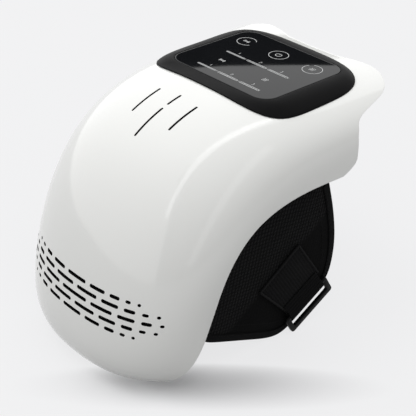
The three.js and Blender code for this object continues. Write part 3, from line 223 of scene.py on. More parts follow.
@dataclass(frozen=True)
class ShellForm:
    """The curved body that shell, liner and lining share. Millimetres, in the object's own axes."""

    length: float = 270
    height: float = 200
    half_width: float = 98
    wall: float = 2.5
    liner_wall: float = 2
    cavity_depth: float = 22
    side_cavity: float = 5.5
    stations: Table = (
        (-0.393, 0.005, -0.285, 0.24, 0.93, 2.8),
        (-0.496, 0.05, -0.256, 0.34, 0.94, 2.3),
        (-0.489, 0.24, -0.226, 0.47, 0.96, 2.2),
        (-0.422, 0.56, -0.178, 0.58, 0.975, 2.1),
        (-0.304, 0.835, -0.104, 0.655, 0.975, 2.1),
        (-0.137, 0.97, -0.004, 0.69, 0.98, 2.3),
        (0.067, 0.995, 0.107, 0.695, 0.99, 2.7),
        (0.248, 0.96, 0.196, 0.685, 1, 3.3),
        (0.411, 0.96, 0.252, 0.685, 1.01, 3.7),
        (0.567, 0.945, 0.311, 0.685, 1.02, 4),
    )
    rim_shares: tuple[float, ...] = (
        0.93, 0.931, 0.934, 0.948, 0.96, 0.956, 0.932, 0.849, 0.839, 0.847, 0.863, 0.882, 0.88,
    )
    cavity_shares: tuple[float, ...] = (0.36, 0.42, 0.65, 0.9, 1, 1, 1, 1, 0.95, 0.9)
    rim_corner_start: float = 0.83
    rim_corner: float = 0.055
    liner_setback: float = 0.02
    liner_side_setback: float = 0.06
    slope_step: float = 0.002

    @property
    def size(self) -> Array:
        """Length and height."""
        return np.array((self.length, self.height), float)

    def layer(self, place: Any, side: Any, crown_depth: Any, side_depth: Any) -> Array:
        """Points of the layer that lies at given depths inside the outer surface.

        Args:
            place: Station from 0, the chin, to 1.
            side: Across the shell, from -1 to 1.
            crown_depth: Depth at the crown.
            side_depth: Depth at the side edge.

        Returns:
            The points, with their three values on the last axis.
        """
        place, side = np.broadcast_arrays(np.asarray(place, float), np.asarray(side, float))
        row = spline_row(self.stations, place)
        ahead = spline_row(self.stations, place + self.slope_step)[..., :2]
        behind = spline_row(self.stations, place - self.slope_step)[..., :2]
        outward = turned_left(unit((ahead - behind) * self.size))
        crown = row[..., :2] * self.size - outward * np.asarray(crown_depth, float)[..., None]
        edge = row[..., 2:4] * self.size
        across = np.abs(np.sin(side * math.pi / 2))
        up = np.abs(np.cos(side * math.pi / 2))
        square = row[..., 5]
        reach = (across**square + up**square) ** (-1 / square)
        flat = lerp(edge, crown, (reach * up)[..., None])
        x = np.sign(side) * (row[..., 4] * self.half_width - side_depth) * reach * across
        return np.concatenate([x[..., None], flat], -1)

    def height_over(self, x: Any, y: Any) -> Array:
        """Height of the outer surface over places in plan, found by halving."""
        x, y = np.asarray(x, float), np.asarray(y, float)
        low, high = np.full(y.shape, 0.5), np.ones(y.shape)

        def section(place: Array) -> Array:
            """The surface's points over x at stations."""
            row = spline_row(self.stations, place)
            share = np.minimum(np.abs(x) / (row[..., 4] * self.half_width), 1)
            up = (1 - share ** row[..., 5]) ** (1 / row[..., 5])
            return lerp(row[..., 2:4], row[..., :2], up[..., None]) * self.size

        for _ in range(30):
            middle = (low + high) / 2
            before = section(middle)[..., 0] < y
            low, high = np.where(before, middle, low), np.where(before, high, middle)
        return section((low + high) / 2)[..., 1]

    def rim(self, side: Any) -> Array:
        """The station where the thigh end's rim cuts the shell, for sides from -1 to 1."""
        shares = np.array(self.rim_shares)
        last = len(shares) - 1
        run = np.abs(np.asarray(side, float)) * last
        knot = np.minimum(np.floor(run).astype(int), last - 1)
        t = run - knot
        a, b, c, d = (shares[k] for k in (np.abs(knot - 1), knot, knot + 1, np.minimum(knot + 2, last)))
        curve = b + t * (c - a + t * (2 * a - 5 * b + 4 * c - d + t * (3 * (b - c) + d - a))) / 2
        corner = np.maximum(0, np.abs(side) - self.rim_corner_start) / (1 - self.rim_corner_start)
        return curve - self.rim_corner * corner**4

    def liner_rim(self, side: Any) -> Array:
        """The station where the liner ends, for sides from -1 to 1."""
        beside = np.minimum(np.abs(side) + self.liner_side_setback, 1)
        return np.minimum(self.rim(side), self.rim(beside)) - self.liner_setback

    def liner_depths(self, place: Array, drop: float = 0) -> tuple[Array, Array]:
        """Depths of the liner's upper face at stations, lowered by a distance."""
        cavity = self.cavity_depth * spline_row([[s] for s in self.cavity_shares], place)[..., 0]
        return cavity + drop, np.full(np.shape(place), self.side_cavity + drop)


# Meshes


def linked(name: str, data: bpy.types.ID) -> Piece:
    """A new object with its data, linked to the scene."""
    piece = bpy.data.objects.new(name, data)
    bpy.context.scene.collection.objects.link(piece)
    return piece


def placed(origin: Any, axes: Any) -> Matrix:
    """The matrix that puts an object at an origin, with its axes along three directions."""
    return Matrix.Translation(Vector(origin)) @ Matrix([list(axis) for axis in axes]).transposed().to_4x4()


@dataclass
class Draft:
    """Points and faces of a piece before it is an object, with one UV place per point in the same unit."""

    points: Array
    faces: list[tuple[int, ...]]
    uvs: Array | None = None

    @staticmethod
    def sheet(outer: Array, inner: Array, uvs: Array | None = None) -> "Draft":
        """A closed body between two grids of points.

        Args:
            outer: Grid of points, rows by columns by three.
            inner: The grid under it.
            uvs: Grid of UV places that both share.

        Returns:
            The closed body.
        """
        rows, columns = outer.shape[:2]
        number = np.arange(rows * columns).reshape(rows, columns)
        a, b, c, d = number[:-1, :-1], number[1:, :-1], number[1:, 1:], number[:-1, 1:]
        top = np.stack([a, b, c, d], -1).reshape(-1, 4)
        base = rows * columns
        faces = [tuple(f) for f in top.tolist()]
        faces += [tuple(reversed(f)) for f in (top + base).tolist()]
        ring = np.concatenate([number[0, :-1], number[:-1, -1], number[-1, :0:-1], number[:0:-1, 0]]).tolist()
        for k, start in enumerate(ring):
            end = ring[(k + 1) % len(ring)]
            faces.append((start, end, end + base, start + base))
        points = np.concatenate([outer.reshape(-1, 3), inner.reshape(-1, 3)])
        flat = None if uvs is None else np.concatenate([uvs.reshape(-1, 2)] * 2)
        return Draft(points, faces, flat)

    @staticmethod
    def sweep(sections: Array, closed: bool, uvs: Array | None = None) -> "Draft":
        """A body through closed sections of points, joined end to end or capped.

        Args:
            sections: Sections by points by three.
            closed: Whether the last section meets the first.
            uvs: UV places in the same order.

        Returns:
            The closed body.
        """
        count, size = sections.shape[:2]
        faces: list[tuple[int, ...]] = []
        for k in range(count if closed else count - 1):
            here, there = k * size, ((k + 1) % count) * size
            for m in range(size):
                n = (m + 1) % size
                faces.append((here + m, here + n, there + n, there + m))
        if not closed:
            faces.append(tuple(reversed(range(size))))
            faces.append(tuple(range((count - 1) * size, count * size)))
        return Draft(sections.reshape(-1, 3), faces, None if uvs is None else uvs.reshape(-1, 2))

    @staticmethod
    def tube(path: Array, radius: float, closed: bool = False, sides: int = 10) -> "Draft":
        """A round tube along a path of points."""
        run = path_run(path, closed)
        normal = unit(np.cross(run[0], OBLIQUE))
        turns = np.linspace(0, 2 * math.pi, sides, endpoint=False)
        rings = []
        for spot, along in zip(path, run):
            normal = unit(normal - along * np.dot(normal, along))
            rings.append(spot + radius * circle(turns) @ np.stack([normal, np.cross(along, normal)]))
        return Draft.sweep(np.array(rings), closed, pairs(run_lengths(path), radius * turns))

    @staticmethod
    def prism(outline: Array, low: float, high: float) -> "Draft":
        """A plate of an outline in plan, between two heights."""
        count = len(outline)
        points = np.concatenate([np.column_stack([outline, np.full(count, z)]) for z in (low, high)])
        faces: list[tuple[int, ...]] = [tuple(reversed(range(count))), tuple(range(count, 2 * count))]
        faces += [(k, (k + 1) % count, (k + 1) % count + count, k + count) for k in range(count)]
        return Draft(points, faces, points[:, :2].copy())

    @staticmethod
    def joined(drafts: Sequence["Draft"]) -> "Draft":
        """Several drafts as one."""
        points, faces, uvs, base = [], [], [], 0
        for draft in drafts:
            points.append(draft.points)
            faces += [tuple(k + base for k in face) for face in draft.faces]
            uvs.append(np.zeros((len(draft.points), 2)) if draft.uvs is None else draft.uvs)
            base += len(draft.points)
        return Draft(np.concatenate(points), faces, np.concatenate(uvs))

    def moved(self, axes: Array, origin: Array) -> "Draft":
        """The draft with its own axes laid along the rows of axes, from an origin."""
        return Draft(self.points @ np.asarray(axes) + np.asarray(origin), self.faces, self.uvs)

    def sided(self, side: Side) -> "Draft":
        """The draft on the given side of the leg."""
        return Draft(self.points * (side.value, 1, 1), self.faces, self.uvs)

    def build(self, name: str, world: bool = True) -> Piece:
        """Makes the object.

        Args:
            name: Name of the piece.
            world: Whether the points are the object's own millimetres, and not metres already.

        Returns:
            The object, linked to the scene, with its faces outward.
        """
        points = STANCE.world(self.points) if world else self.points
        mesh = bpy.data.meshes.new(name)
        mesh.from_pydata(points.tolist(), [], self.faces)
        if self.uvs is not None:
            layer = mesh.uv_layers.new(name="UVMap")
            corner = np.zeros(len(mesh.loops), np.int32)
            mesh.loops.foreach_get("vertex_index", corner)
            scaled = (self.uvs[corner] * (MM if world else 1)).astype(np.float32)
            layer.data.foreach_set("uv", scaled.ravel())
        form = bmesh.new()
        form.from_mesh(mesh)
        bmesh.ops.recalc_face_normals(form, faces=form.faces)
        form.to_mesh(mesh)
        form.free()
        return linked(name, mesh)


class Bench:
    """Work on finished objects."""

    @staticmethod
    def settle(piece: Piece) -> None:
        """Applies every modifier of a piece."""
        graph = bpy.context.evaluated_depsgraph_get()
        mesh = bpy.data.meshes.new_from_object(piece.evaluated_get(graph))
        piece.modifiers.clear()
        piece.data = mesh

    @staticmethod
    def round_edges(piece: Piece, width: float, segments: int = 4, angle: float = 50) -> None:
        """Rounds the sharp edges of a piece.

        Args:
            piece: The piece.
            width: Width of the round, in millimetres.
            segments: Facets of the round.
            angle: The angle above which an edge counts as sharp, in degrees.
        """
        bevel = piece.modifiers.new("round", "BEVEL")
        bevel.width = width * MM
        bevel.segments = segments
        bevel.limit_method = "ANGLE"
        bevel.angle_limit = math.radians(angle)
        bevel.use_clamp_overlap = True
        Bench.settle(piece)

    @staticmethod
    def smooth(piece: Piece, angle: float) -> None:
        """Shades a piece smooth, apart from edges sharper than an angle in degrees."""
        mesh = piece.data
        mesh.polygons.foreach_set("use_smooth", np.ones(len(mesh.polygons), bool))
        mesh.set_sharp_from_angle(angle=math.radians(angle))

    @staticmethod
    def smooth_node(node: Piece, angle: float = 30) -> None:
        """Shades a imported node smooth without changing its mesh's points."""
        mesh = node.data
        if "custom_normal" in mesh.attributes:
            mesh.attributes.remove(mesh.attributes["custom_normal"])
        mesh.polygons.foreach_set("use_smooth", np.ones(len(mesh.polygons), bool))
        weld = node.modifiers.new("weld", "WELD")
        weld.merge_threshold = 0.01 * MM
        split = node.modifiers.new("split", "EDGE_SPLIT")
        split.split_angle = math.radians(angle)

    @staticmethod
    def cut(piece: Piece, cutter: Piece) -> None:
        """Cuts a piece with a closed cutter, which is removed and whose materials line the cut."""
        cutting = piece.modifiers.new("cut", "BOOLEAN")
        cutting.operation = "DIFFERENCE"
        cutting.object = cutter
        cutting.solver = "EXACT"
        cutting.material_mode = "TRANSFER"
        Bench.settle(piece)
        bpy.data.objects.remove(cutter)

    @staticmethod
    def dress(piece: Piece, material: Material) -> Piece:
        """Gives a piece one material."""
        piece.data.materials.clear()
        piece.data.materials.append(material)
        return piece


@dataclass(frozen=True)
class Stitching:
    """A row of thread stitches. Millimetres, and places along a stitch as shares of its length."""

    pitch: float = 3.4
    length: float = 2.5
    radius: float = 0.28
    sides: int = 6
    profile: Table = ((-0.5, 0.45, -0.5), (-0.3, 1, 0.35), (0.3, 1, 0.35), (0.5, 0.45, -0.5))

    def row(self, path: Array, normals: Array) -> Draft:
        """Stitches along a path on a surface.

        Args:
            path: Points on the surface.
            normals: The surface's outward direction at each point, or one for all.

        Returns:
            The stitches as one draft.
        """
        run = run_lengths(path)
        count = max(int(run[-1] / self.pitch), 1)
        spots = (np.arange(count) + 0.5) * run[-1] / count
        normals = np.broadcast_to(normals, path.shape)

        def at(values: Array, where: Array) -> Array:
            """Values along the path, at ways from its start."""
            return np.stack([np.interp(where, run, values[:, k]) for k in range(3)], -1)

        start, end = at(path, spots - self.length / 2), at(path, spots + self.length / 2)
        middle, along = (start + end) / 2, unit(end - start)
        out = unit(at(normals, spots))
        axes = np.stack([out, np.cross(along, out)], 1)
        turns = np.linspace(0, 2 * math.pi, self.sides, endpoint=False)
        rings = []
        for place, size, lift in self.profile:
            centre = middle + along * place * self.length + out * lift * self.radius
            rings.append(centre[:, None] + size * self.radius * circle(turns) @ axes)
        return Draft.joined([Draft.sweep(stitch, False) for stitch in np.stack(rings, 1)])


# Materials


def math_method(operation: str, swapped: bool = False) -> Callable[..., "Value"]:
    """A method of Value that adds a Math node.

    Args:
        operation: Blender's name of the operation.
        swapped: Whether the other operand comes first.

    Returns:
        The method.
    """

    def method(self: "Value", *others: Any) -> "Value":
        """The result of a Math node on the value and the other operands."""
        operands = (*others, self) if swapped else (self, *others)
        node = self.recipe.node("ShaderNodeMath", {"operation": operation}, dict(enumerate(operands)))
        return self.recipe.out(node)

    return method


class Value:
    """A socket of a material whose sums and products add Math nodes."""

    def __init__(self, recipe: "Recipe", socket: bpy.types.NodeSocket) -> None:
        """Wraps a socket of a recipe's tree."""
        self.recipe = recipe
        self.socket = socket

    __add__ = __radd__ = math_method("ADD")
    __sub__, __rsub__ = math_method("SUBTRACT"), math_method("SUBTRACT", swapped=True)
    __mul__ = __rmul__ = math_method("MULTIPLY")
    __truediv__ = math_method("DIVIDE")
    __pow__ = math_method("POWER")
    __abs__ = math_method("ABSOLUTE")
    wave = math_method("SINE")
    above = math_method("GREATER_THAN")
    least = math_method("MINIMUM")
    most = math_method("MAXIMUM")


class Recipe:
    """A material, or a room's light, under construction."""

    def __init__(self, name: str, library: Any = None) -> None:
        """Starts an empty tree in the materials, or in another library of things with nodes."""
        self.material = (bpy.data.materials if library is None else library).new(name)
        self.material.use_nodes = True
        self.tree = self.material.node_tree
        self.tree.nodes.clear()

    def node(self, kind: str, settings: Mapping[str, Any] | None = None,
             inputs: Mapping[Any, Any] | None = None) -> bpy.types.Node:
        """Adds a node.

        Args:
            kind: Blender's name of the node type.
            settings: Its settings, which are set first.
            inputs: Values or links for its sockets, by name or number.

        Returns:
            The node.
        """
        node = self.tree.nodes.new(kind)
        for key, setting in (settings or {}).items():
            setattr(node, key, setting)
        for key, given in (inputs or {}).items():
            if isinstance(given, Value):
                self.tree.links.new(given.socket, node.inputs[key])
            elif isinstance(given, tuple) and node.inputs[key].type == "RGBA":
                node.inputs[key].default_value = (*given, 1)
            else:
                node.inputs[key].default_value = given
        return node

    def out(self, node: bpy.types.Node, name: Any = 0) -> Value:
        """An output of a node as a value."""
        return Value(self, node.outputs[name])

    def place(self, kind: str = "Object") -> Value:
        """Coordinates of the object, of its UV map or, for the room, of the direction looked in."""
        return self.out(self.node("ShaderNodeTexCoord"), kind)

    def parts(self, vector: Value) -> tuple[Value, Value, Value]:
        """The three values of a vector."""
        split = self.node("ShaderNodeSeparateXYZ", None, {0: vector})
        return self.out(split, 0), self.out(split, 1), self.out(split, 2)

    def noise(self, scale: float, detail: float, vector: Value | None = None,
              roughness: float = 0.5) -> Value:
        """Soft noise from 0 to 1 with so many features to a metre."""
        inputs = {"Vector": vector or self.place(), "Scale": scale, "Detail": detail, "Roughness": roughness}
        return self.out(self.node("ShaderNodeTexNoise", None, inputs))

    def cells(self, scale: float) -> Value:
        """Distance to the nearest of scattered points."""
        return self.out(self.node("ShaderNodeTexVoronoi", None, {"Scale": scale, "Vector": self.place()}))

    def blend(self, factor: Any, first: Any, second: Any) -> Value:
        """A colour between two, by a factor."""
        inputs = {0: factor, 6: first, 7: second}
        return self.out(self.node("ShaderNodeMix", {"data_type": "RGBA"}, inputs), 2)

    def bump(self, height: Value, distance: float, strength: float = 1, over: Value | None = None) -> Value:
        """A surface direction from heights that reach a distance in millimetres, laid over another."""
        inputs: dict[str, Any] = {"Height": height, "Distance": distance * MM, "Strength": strength}
        if over is not None:
            inputs["Normal"] = over
        return self.out(self.node("ShaderNodeBump", None, inputs))

    def finish(self, sockets: Mapping[str, Any]) -> Material:
        """Ends the material in a Principled shader with the given sockets."""
        shader = self.node("ShaderNodeBsdfPrincipled", None, sockets)
        self.node("ShaderNodeOutputMaterial", None, {"Surface": self.out(shader)})
        return self.material


def shade(color: Color, share: float) -> Color:
    """A colour made darker or lighter by a share."""
    red, green, blue = (min(part * share, 1) for part in color)
    return red, green, blue


@dataclass(frozen=True)
class MouldedPlastic:
    """Injection moulded plastic with its fine surface and slow changes of gloss. Sizes in millimetres."""

    name: str
    color: Color
    roughness: float
    grain: float = 0.25
    grain_depth: float = 0.01
    ripple_depth: float = 0.0
    coat: float = 0.0
    shift: float = 0.03
    gleam: float = 0.5

    def make(self) -> Material:
        """The material."""
        r = Recipe(self.name)
        slow = r.noise(14, 2)
        fine = r.noise(1 / (self.grain * MM), 3)
        darker, lighter = shade(self.color, 1 - self.shift), shade(self.color, 1 + self.shift)
        normal = r.bump(fine, self.grain_depth)
        if self.ripple_depth:
            normal = r.bump(r.noise(60, 1), self.ripple_depth, over=normal)
        return r.finish({
            "Base Color": r.blend(slow * 0.7 + fine * 0.3, darker, lighter),
            "Roughness": self.roughness * (1 + (slow - 0.5) * 0.35 + (fine - 0.5) * 0.2),
            "Normal": normal, "Specular IOR Level": self.gleam,
            "Coat Weight": self.coat, "Coat Roughness": 0.06,
        })


@dataclass(frozen=True)
class TintedGlass:
    """Smoked gloss cover with faint wipe marks."""

    name: str
    color: Color = (0.006, 0.0065, 0.0075)
    gleam: float = 0.15
    speck: float = 0.06

    def make(self) -> Material:
        """The material."""
        r = Recipe(self.name)
        smear = r.noise(26, 3)
        dust = 1 - r.cells(900).least(self.speck) / self.speck
        return r.finish({
            "Base Color": r.blend(smear * 0.5 + dust * 0.1, self.color, shade(self.color, 1.7)),
            "Roughness": 0.015 + smear * 0.02 + dust * 0.02, "Specular IOR Level": self.gleam,
        })


@dataclass(frozen=True)
class Cloth:
    """Woven, ribbed or knitted fabric, in the directions of the piece's UV map. Sizes in millimetres."""

    name: str
    color: Color
    weave: Weave
    pitch: float
    depth: float
    contrast: float = 0.8
    fuzz: float = 0.014
    plain_below: float = 0
    plain_fade: float = 7
    plain_least: float = 0.12
    fibre_depth: float = 0.05
    wear_depth: float = 0.4

    def heights(self, r: Recipe) -> Value:
        """The weave's height from 0 to 1 over the cloth."""
        u, v, _ = r.parts(r.place("UV"))
        turn = math.pi / (self.pitch * MM)
        if self.weave is Weave.DIAMOND:
            return (abs(((u + v) * turn).wave()) * abs(((u - v) * turn).wave())) ** 0.6
        if self.weave is Weave.TAPE:
            return abs(((u * 0.5 + v) * turn).wave()) * 0.6 + abs((v * turn * 3).wave()) * 0.4
        if self.weave is Weave.RIBBED:
            rib = abs((u * turn).wave()) ** 0.7
            return rib * 0.7 + abs((v * turn * 2 + (u * turn).wave()).wave()) * 0.3
        if self.weave is Weave.KNIT:
            loop = abs(((u * 2 + abs((v * turn).wave()) * self.pitch * MM) * turn).wave())
            return loop * 0.6 + abs((v * turn * 2).wave()) * 0.4
        return abs(((u + v) * turn).wave())

    def make(self) -> Material:
        """The material."""
        r = Recipe(self.name)
        height = self.heights(r)
        if self.plain_below:
            _, down, _ = r.parts(r.place("UV"))
            shown = ((self.plain_below + self.plain_fade) * MM - down) / (self.plain_fade * MM)
            height = height * shown.most(self.plain_least).least(1)
        wear = r.noise(35, 3)
        fibre = r.noise(2600, 2)
        low, high = shade(self.color, 1 - 0.55 * self.contrast), shade(self.color, 1 + 0.75 * self.contrast)
        normal = r.bump(fibre, self.fibre_depth, 0.6, r.bump(height, self.depth))
        return r.finish({
            "Base Color": r.blend(height * 0.62 + fibre * 0.2 + wear * 0.25 - 0.05, low, high),
            "Roughness": 0.97 - height * 0.16 + (fibre - 0.5) * 0.1,
            "Normal": r.bump(wear, self.wear_depth, 0.5, normal),
            "Sheen Weight": self.fuzz, "Sheen Roughness": 0.5, "Specular IOR Level": 0.05,
        })


@dataclass(frozen=True)
class Metal:
    """Drawn or plated metal with fine scratches along one axis."""

    name: str
    color: Color
    roughness: float
    stretch: Triple = (60, 900, 900)

    def make(self) -> Material:
        """The material."""
        r = Recipe(self.name)
        scaled = {k: part * size for k, (part, size) in enumerate(zip(r.parts(r.place()), self.stretch))}
        scratch = r.noise(1, 3, r.out(r.node("ShaderNodeCombineXYZ", None, scaled)))
        stain = r.noise(60, 2)
        return r.finish({
            "Base Color": r.blend(scratch * 0.5 + stain * 0.5, shade(self.color, 0.86), self.color),
            "Roughness": self.roughness + (scratch - 0.5) * 0.18 + (stain - 0.5) * 0.12,
            "Metallic": 1.0, "Normal": r.bump(scratch, 0.012),
        })


@dataclass(frozen=True)
class BoardGreen:
    """Circuit board with solder mask, tracks and pads."""

    name: str = "board_green"

    def make(self) -> Material:
        """The material."""
        r = Recipe(self.name)
        x, y, _ = r.parts(r.place())
        lane = abs((x * 900 + (y * 160).wave() * 1.5).wave()).above(0.82)
        cross = abs((y * 700 + (x * 120).wave() * 1.2).wave()).above(0.86)
        tracks = lane.most(cross)
        pads = 1 - r.cells(260).above(0.16)
        grain = r.noise(400, 2)
        mask = r.blend(grain, (0.012, 0.10, 0.05), (0.02, 0.145, 0.075))
        tinted = r.blend(tracks * 0.6, mask, (0.05, 0.25, 0.12))
        return r.finish({
            "Base Color": r.blend(pads, tinted, (0.72, 0.66, 0.42)), "Roughness": 0.32 + grain * 0.2,
            "Metallic": pads * 0.8, "Normal": r.bump(tracks + pads, 0.03),
        })


@dataclass(frozen=True)
class HeaterFilm:
    """Amber film with a printed copper track that runs to and fro."""

    name: str = "heater_film"

    def make(self) -> Material:
        """The material."""
        r = Recipe(self.name)
        x, y, _ = r.parts(r.place())
        lane = abs((x * 520 + (y * 90).wave() * 0.6).wave()).above(0.55)
        haze = r.noise(50, 3)
        base = r.blend(haze, (0.36, 0.13, 0.02), (0.52, 0.21, 0.04))
        return r.finish({
            "Base Color": r.blend(lane * 0.85, base, (0.62, 0.26, 0.13)), "Roughness": 0.28 + haze * 0.15,
            "Metallic": lane * 0.6, "Normal": r.bump(lane, 0.05),
        })


@dataclass(frozen=True)
class Pouch:
    """Foil pouch with soft creases."""

    name: str = "cell_foil"

    def make(self) -> Material:
        """The material."""
        r = Recipe(self.name)
        crease = r.noise(90, 4, roughness=0.6)
        return r.finish({
            "Base Color": r.blend(crease, (0.5, 0.52, 0.55), (0.68, 0.7, 0.72)),
            "Roughness": 0.3 + crease * 0.2, "Metallic": 0.85, "Normal": r.bump(crease, 0.4, 0.6),
        })


@dataclass(frozen=True)
class Print:
    """Pale print on the panel, a little uneven in its strength."""

    name: str
    color: Color
    glow: float

    def make(self) -> Material:
        """The material."""
        r = Recipe(self.name)
        grain = r.noise(2500, 2)
        color = r.blend(grain, shade(self.color, 0.8), self.color)
        return r.finish({
            "Base Color": color, "Roughness": 0.45 + grain * 0.15,
            "Emission Color": color, "Emission Strength": self.glow,
        })


class Finishes:
    """Every finish of the object, made once."""

    def __init__(self) -> None:
        """Makes the materials."""
        plastic, cloth = MouldedPlastic, Cloth
        self.shell = plastic(
            "shell_white", (0.88, 0.885, 0.865), 0.12, 0.5, 0.003, 0.01, coat=0.6, shift=0.008,
        ).make()
        self.liner = plastic("liner_grey", (0.022, 0.023, 0.026), 0.5, 0.35, 0.03).make()
        self.bezel = plastic("bezel_black", (0.0068, 0.0068, 0.0072), 0.48, 0.3, 0.02, gleam=0.045).make()
        # Near black finish for every cut wall of the white moulding: painted shade inside the vents, slits
        # and panel opening.
        self.vent = plastic("vent_black", (0.003, 0.003, 0.003), 0.7, 0.4, 0.01, gleam=0.05).make()
        self.shield = plastic("shield_black", (0.01, 0.01, 0.011), 0.7, 0.4, 0.03).make()
        self.tray = plastic("tray_grey", (0.04, 0.042, 0.046), 0.5, 0.5, 0.02).make()
        self.lens = TintedGlass("lens_smoked").make()
        self.buckle = plastic(
            "buckle_black", (0.004, 0.004, 0.0043), 0.34, 0.6, 0.012, 0.01, gleam=0.07,
        ).make()
        self.wing = cloth(
            "wing_cloth", (0.0048, 0.0048, 0.005), Weave.DIAMOND, 4.6, 0.8, 1.15, plain_below=24,
        ).make()
        self.tape = cloth("edge_tape", (0.0032, 0.0032, 0.0034), Weave.TAPE, 1.2, 0.18, 0.6).make()
        self.webbing = cloth("webbing_ribs", (0.0042, 0.0042, 0.0044), Weave.RIBBED, 2.6, 0.4, 0.9).make()
        # Lighter than the webbing it is folded from: painted sheen along the patch's folded edge.
        self.fold = cloth("webbing_fold", (0.013, 0.013, 0.0134), Weave.TAPE, 1.2, 0.15, 0.6).make()
        self.lining = cloth("lining_knit", (0.016, 0.016, 0.0175), Weave.KNIT, 1.6, 0.25, 0.7, 0.12).make()
        self.thread = cloth("black_thread", (0.014, 0.014, 0.0145), Weave.THREAD, 0.5, 0.06, 0.5).make()
        self.steel = Metal("zinc_steel", (0.62, 0.63, 0.65), 0.32).make()
        self.can = Metal("drawn_can", (0.6, 0.61, 0.63), 0.26, (900, 60, 900)).make()
        self.sinter = Metal("sintered_weight", (0.42, 0.4, 0.36), 0.5, (400, 400, 400)).make()
        self.port = Metal("plated_port", (0.58, 0.59, 0.61), 0.2, (500, 500, 80)).make()
        self.board = BoardGreen().make()
        self.foil = Pouch().make()
        self.film = HeaterFilm().make()
        self.print = Print("panel_print", (0.62, 0.63, 0.63), 0.12).make()
        self.bars = Print("panel_bars", (0.3, 0.305, 0.31), 0.04).make()


# Sub-assemblies


@dataclass
class Assembly:
    """What every sub-assembly shares."""

    form: ShellForm
    finishes: Finishes

    def add(self, piece: Piece, material: Material | None, body: str | None, slot: str,
            angle: float | None, stands_for: Sequence[str] = ()) -> None:
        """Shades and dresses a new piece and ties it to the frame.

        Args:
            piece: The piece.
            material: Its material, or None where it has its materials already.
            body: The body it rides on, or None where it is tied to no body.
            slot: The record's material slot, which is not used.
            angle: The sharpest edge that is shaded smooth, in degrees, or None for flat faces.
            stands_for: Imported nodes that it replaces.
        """
        if angle is not None:
            Bench.smooth(piece, angle)
        if material is not None:
            Bench.dress(piece, material)
        if body is not None:
            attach(piece, body)
        if stands_for:
            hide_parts(*stands_for)
        LOG.info("%s: %d faces", piece.name, len(piece.data.polygons))


@dataclass
class OuterShell(Assembly):
    """The white moulding with its vents, slits and panel opening. Millimetres."""

    rows: int = 176
    columns: int = 132
    edge_round: float = 0.9
    vent_pitch: float = 6.5
    vent_height: float = 69
    vent_width: float = 2.4
    mouth: float = 0.4
    vent_bridge: float = 5
    long_row: tuple[float, ...] = (28, 20.3, 13.4, 6.8, 2.6)
    staggered_row: tuple[float, ...] = (21, 15, 8.5, 4.6, 2.6)
    short_row: tuple[float, ...] = (20.5, 14.7, 8.3, 4.2, 2.6)
    vent_cut_share: float = 0.16
    vent_cut_past: float = 3
    slit_width: float = 1.5
    slit_spacing: float = 20.5
    slit_spans: Table = ((-1, -46.5, -18.5), (0, -61.5, -34), (0, -29.5, -16), (1, -46.5, -18.5))
    slit_depth: float = 26
    slit_cut_past: float = 1
    panel_cut_past: float = 2

    def vent_places(self) -> list[Triple]:
        """Middle, height and length of every vent slot."""
        rows = (
            (2, self.short_row, True), (1, self.staggered_row, False), (0, self.long_row, True),
            (-1, self.staggered_row, False), (-2, self.short_row, True),
        )
        places = []
        for step, lengths, centred in rows:
            height = self.vent_height + step * self.vent_pitch
            edge = self.vent_bridge / 2
            for k, length in enumerate(lengths):
                middle = 0.0 if centred and k == 0 else edge + length / 2
                places += [(x, height, length) for x in {middle, -middle}]
                edge = middle + length / 2 + self.vent_bridge
        return places

    def cutters(self, panel: "ControlPanel") -> Draft:
        """Vents, slits and the panel's opening."""
        drafts = []
        depth = self.vent_cut_share * self.form.length
        back = depth - self.form.length / 2
        axes = np.array([[1, 0, 0], [0, 0, 1], [0, -1, 0]])
        for middle, height, length in self.vent_places():
            mouth = self.mouth if length > self.vent_bridge else 0
            outline = slot_outline(length + mouth, self.vent_width + mouth)
            tool = Draft.prism(outline, 0, depth + self.vent_cut_past)
            drafts.append(tool.moved(axes, (middle, back, height)))
        for column, start, end in self.slit_spans:
            x = column * self.slit_spacing
            top = float(self.form.height_over(x, end)) + self.slit_cut_past
            outline = slot_outline(end - start + self.mouth, self.slit_width + self.mouth)[:, ::-1]
            drafts.append(Draft.prism(outline + (x, (start + end) / 2), top - self.slit_depth, top))
        opening = panel.outline_at(panel.ledge) + (0, panel.centre)
        floor = panel.height - self.form.cavity_depth
        drafts.append(Draft.prism(opening, floor, panel.height + self.panel_cut_past))
        return Draft.joined(drafts)

    def build(self, panel: "ControlPanel") -> None:
        """Makes the moulding."""
        along = np.linspace(0, 1, self.rows + 1)[:, None]
        side = np.linspace(-1, 1, self.columns + 1)[None, :]
        place = along * self.form.rim(side)
        side = np.broadcast_to(side, place.shape)
        outer, inner = (self.form.layer(place, side, depth, depth) for depth in (0, self.form.wall))
        skin = Draft.sheet(outer, inner).build("outer_shell_moulding")
        Bench.round_edges(skin, self.edge_round, angle=55)
        Bench.dress(skin, self.finishes.shell)
        # The cut walls take the cutter's near black finish, which is painted shade inside the slots.
        Bench.cut(skin, Bench.dress(self.cutters(panel).build("shell_cutter"), self.finishes.vent))
        self.add(skin, None, "housing", "shell", 40, ["outer_shell"])


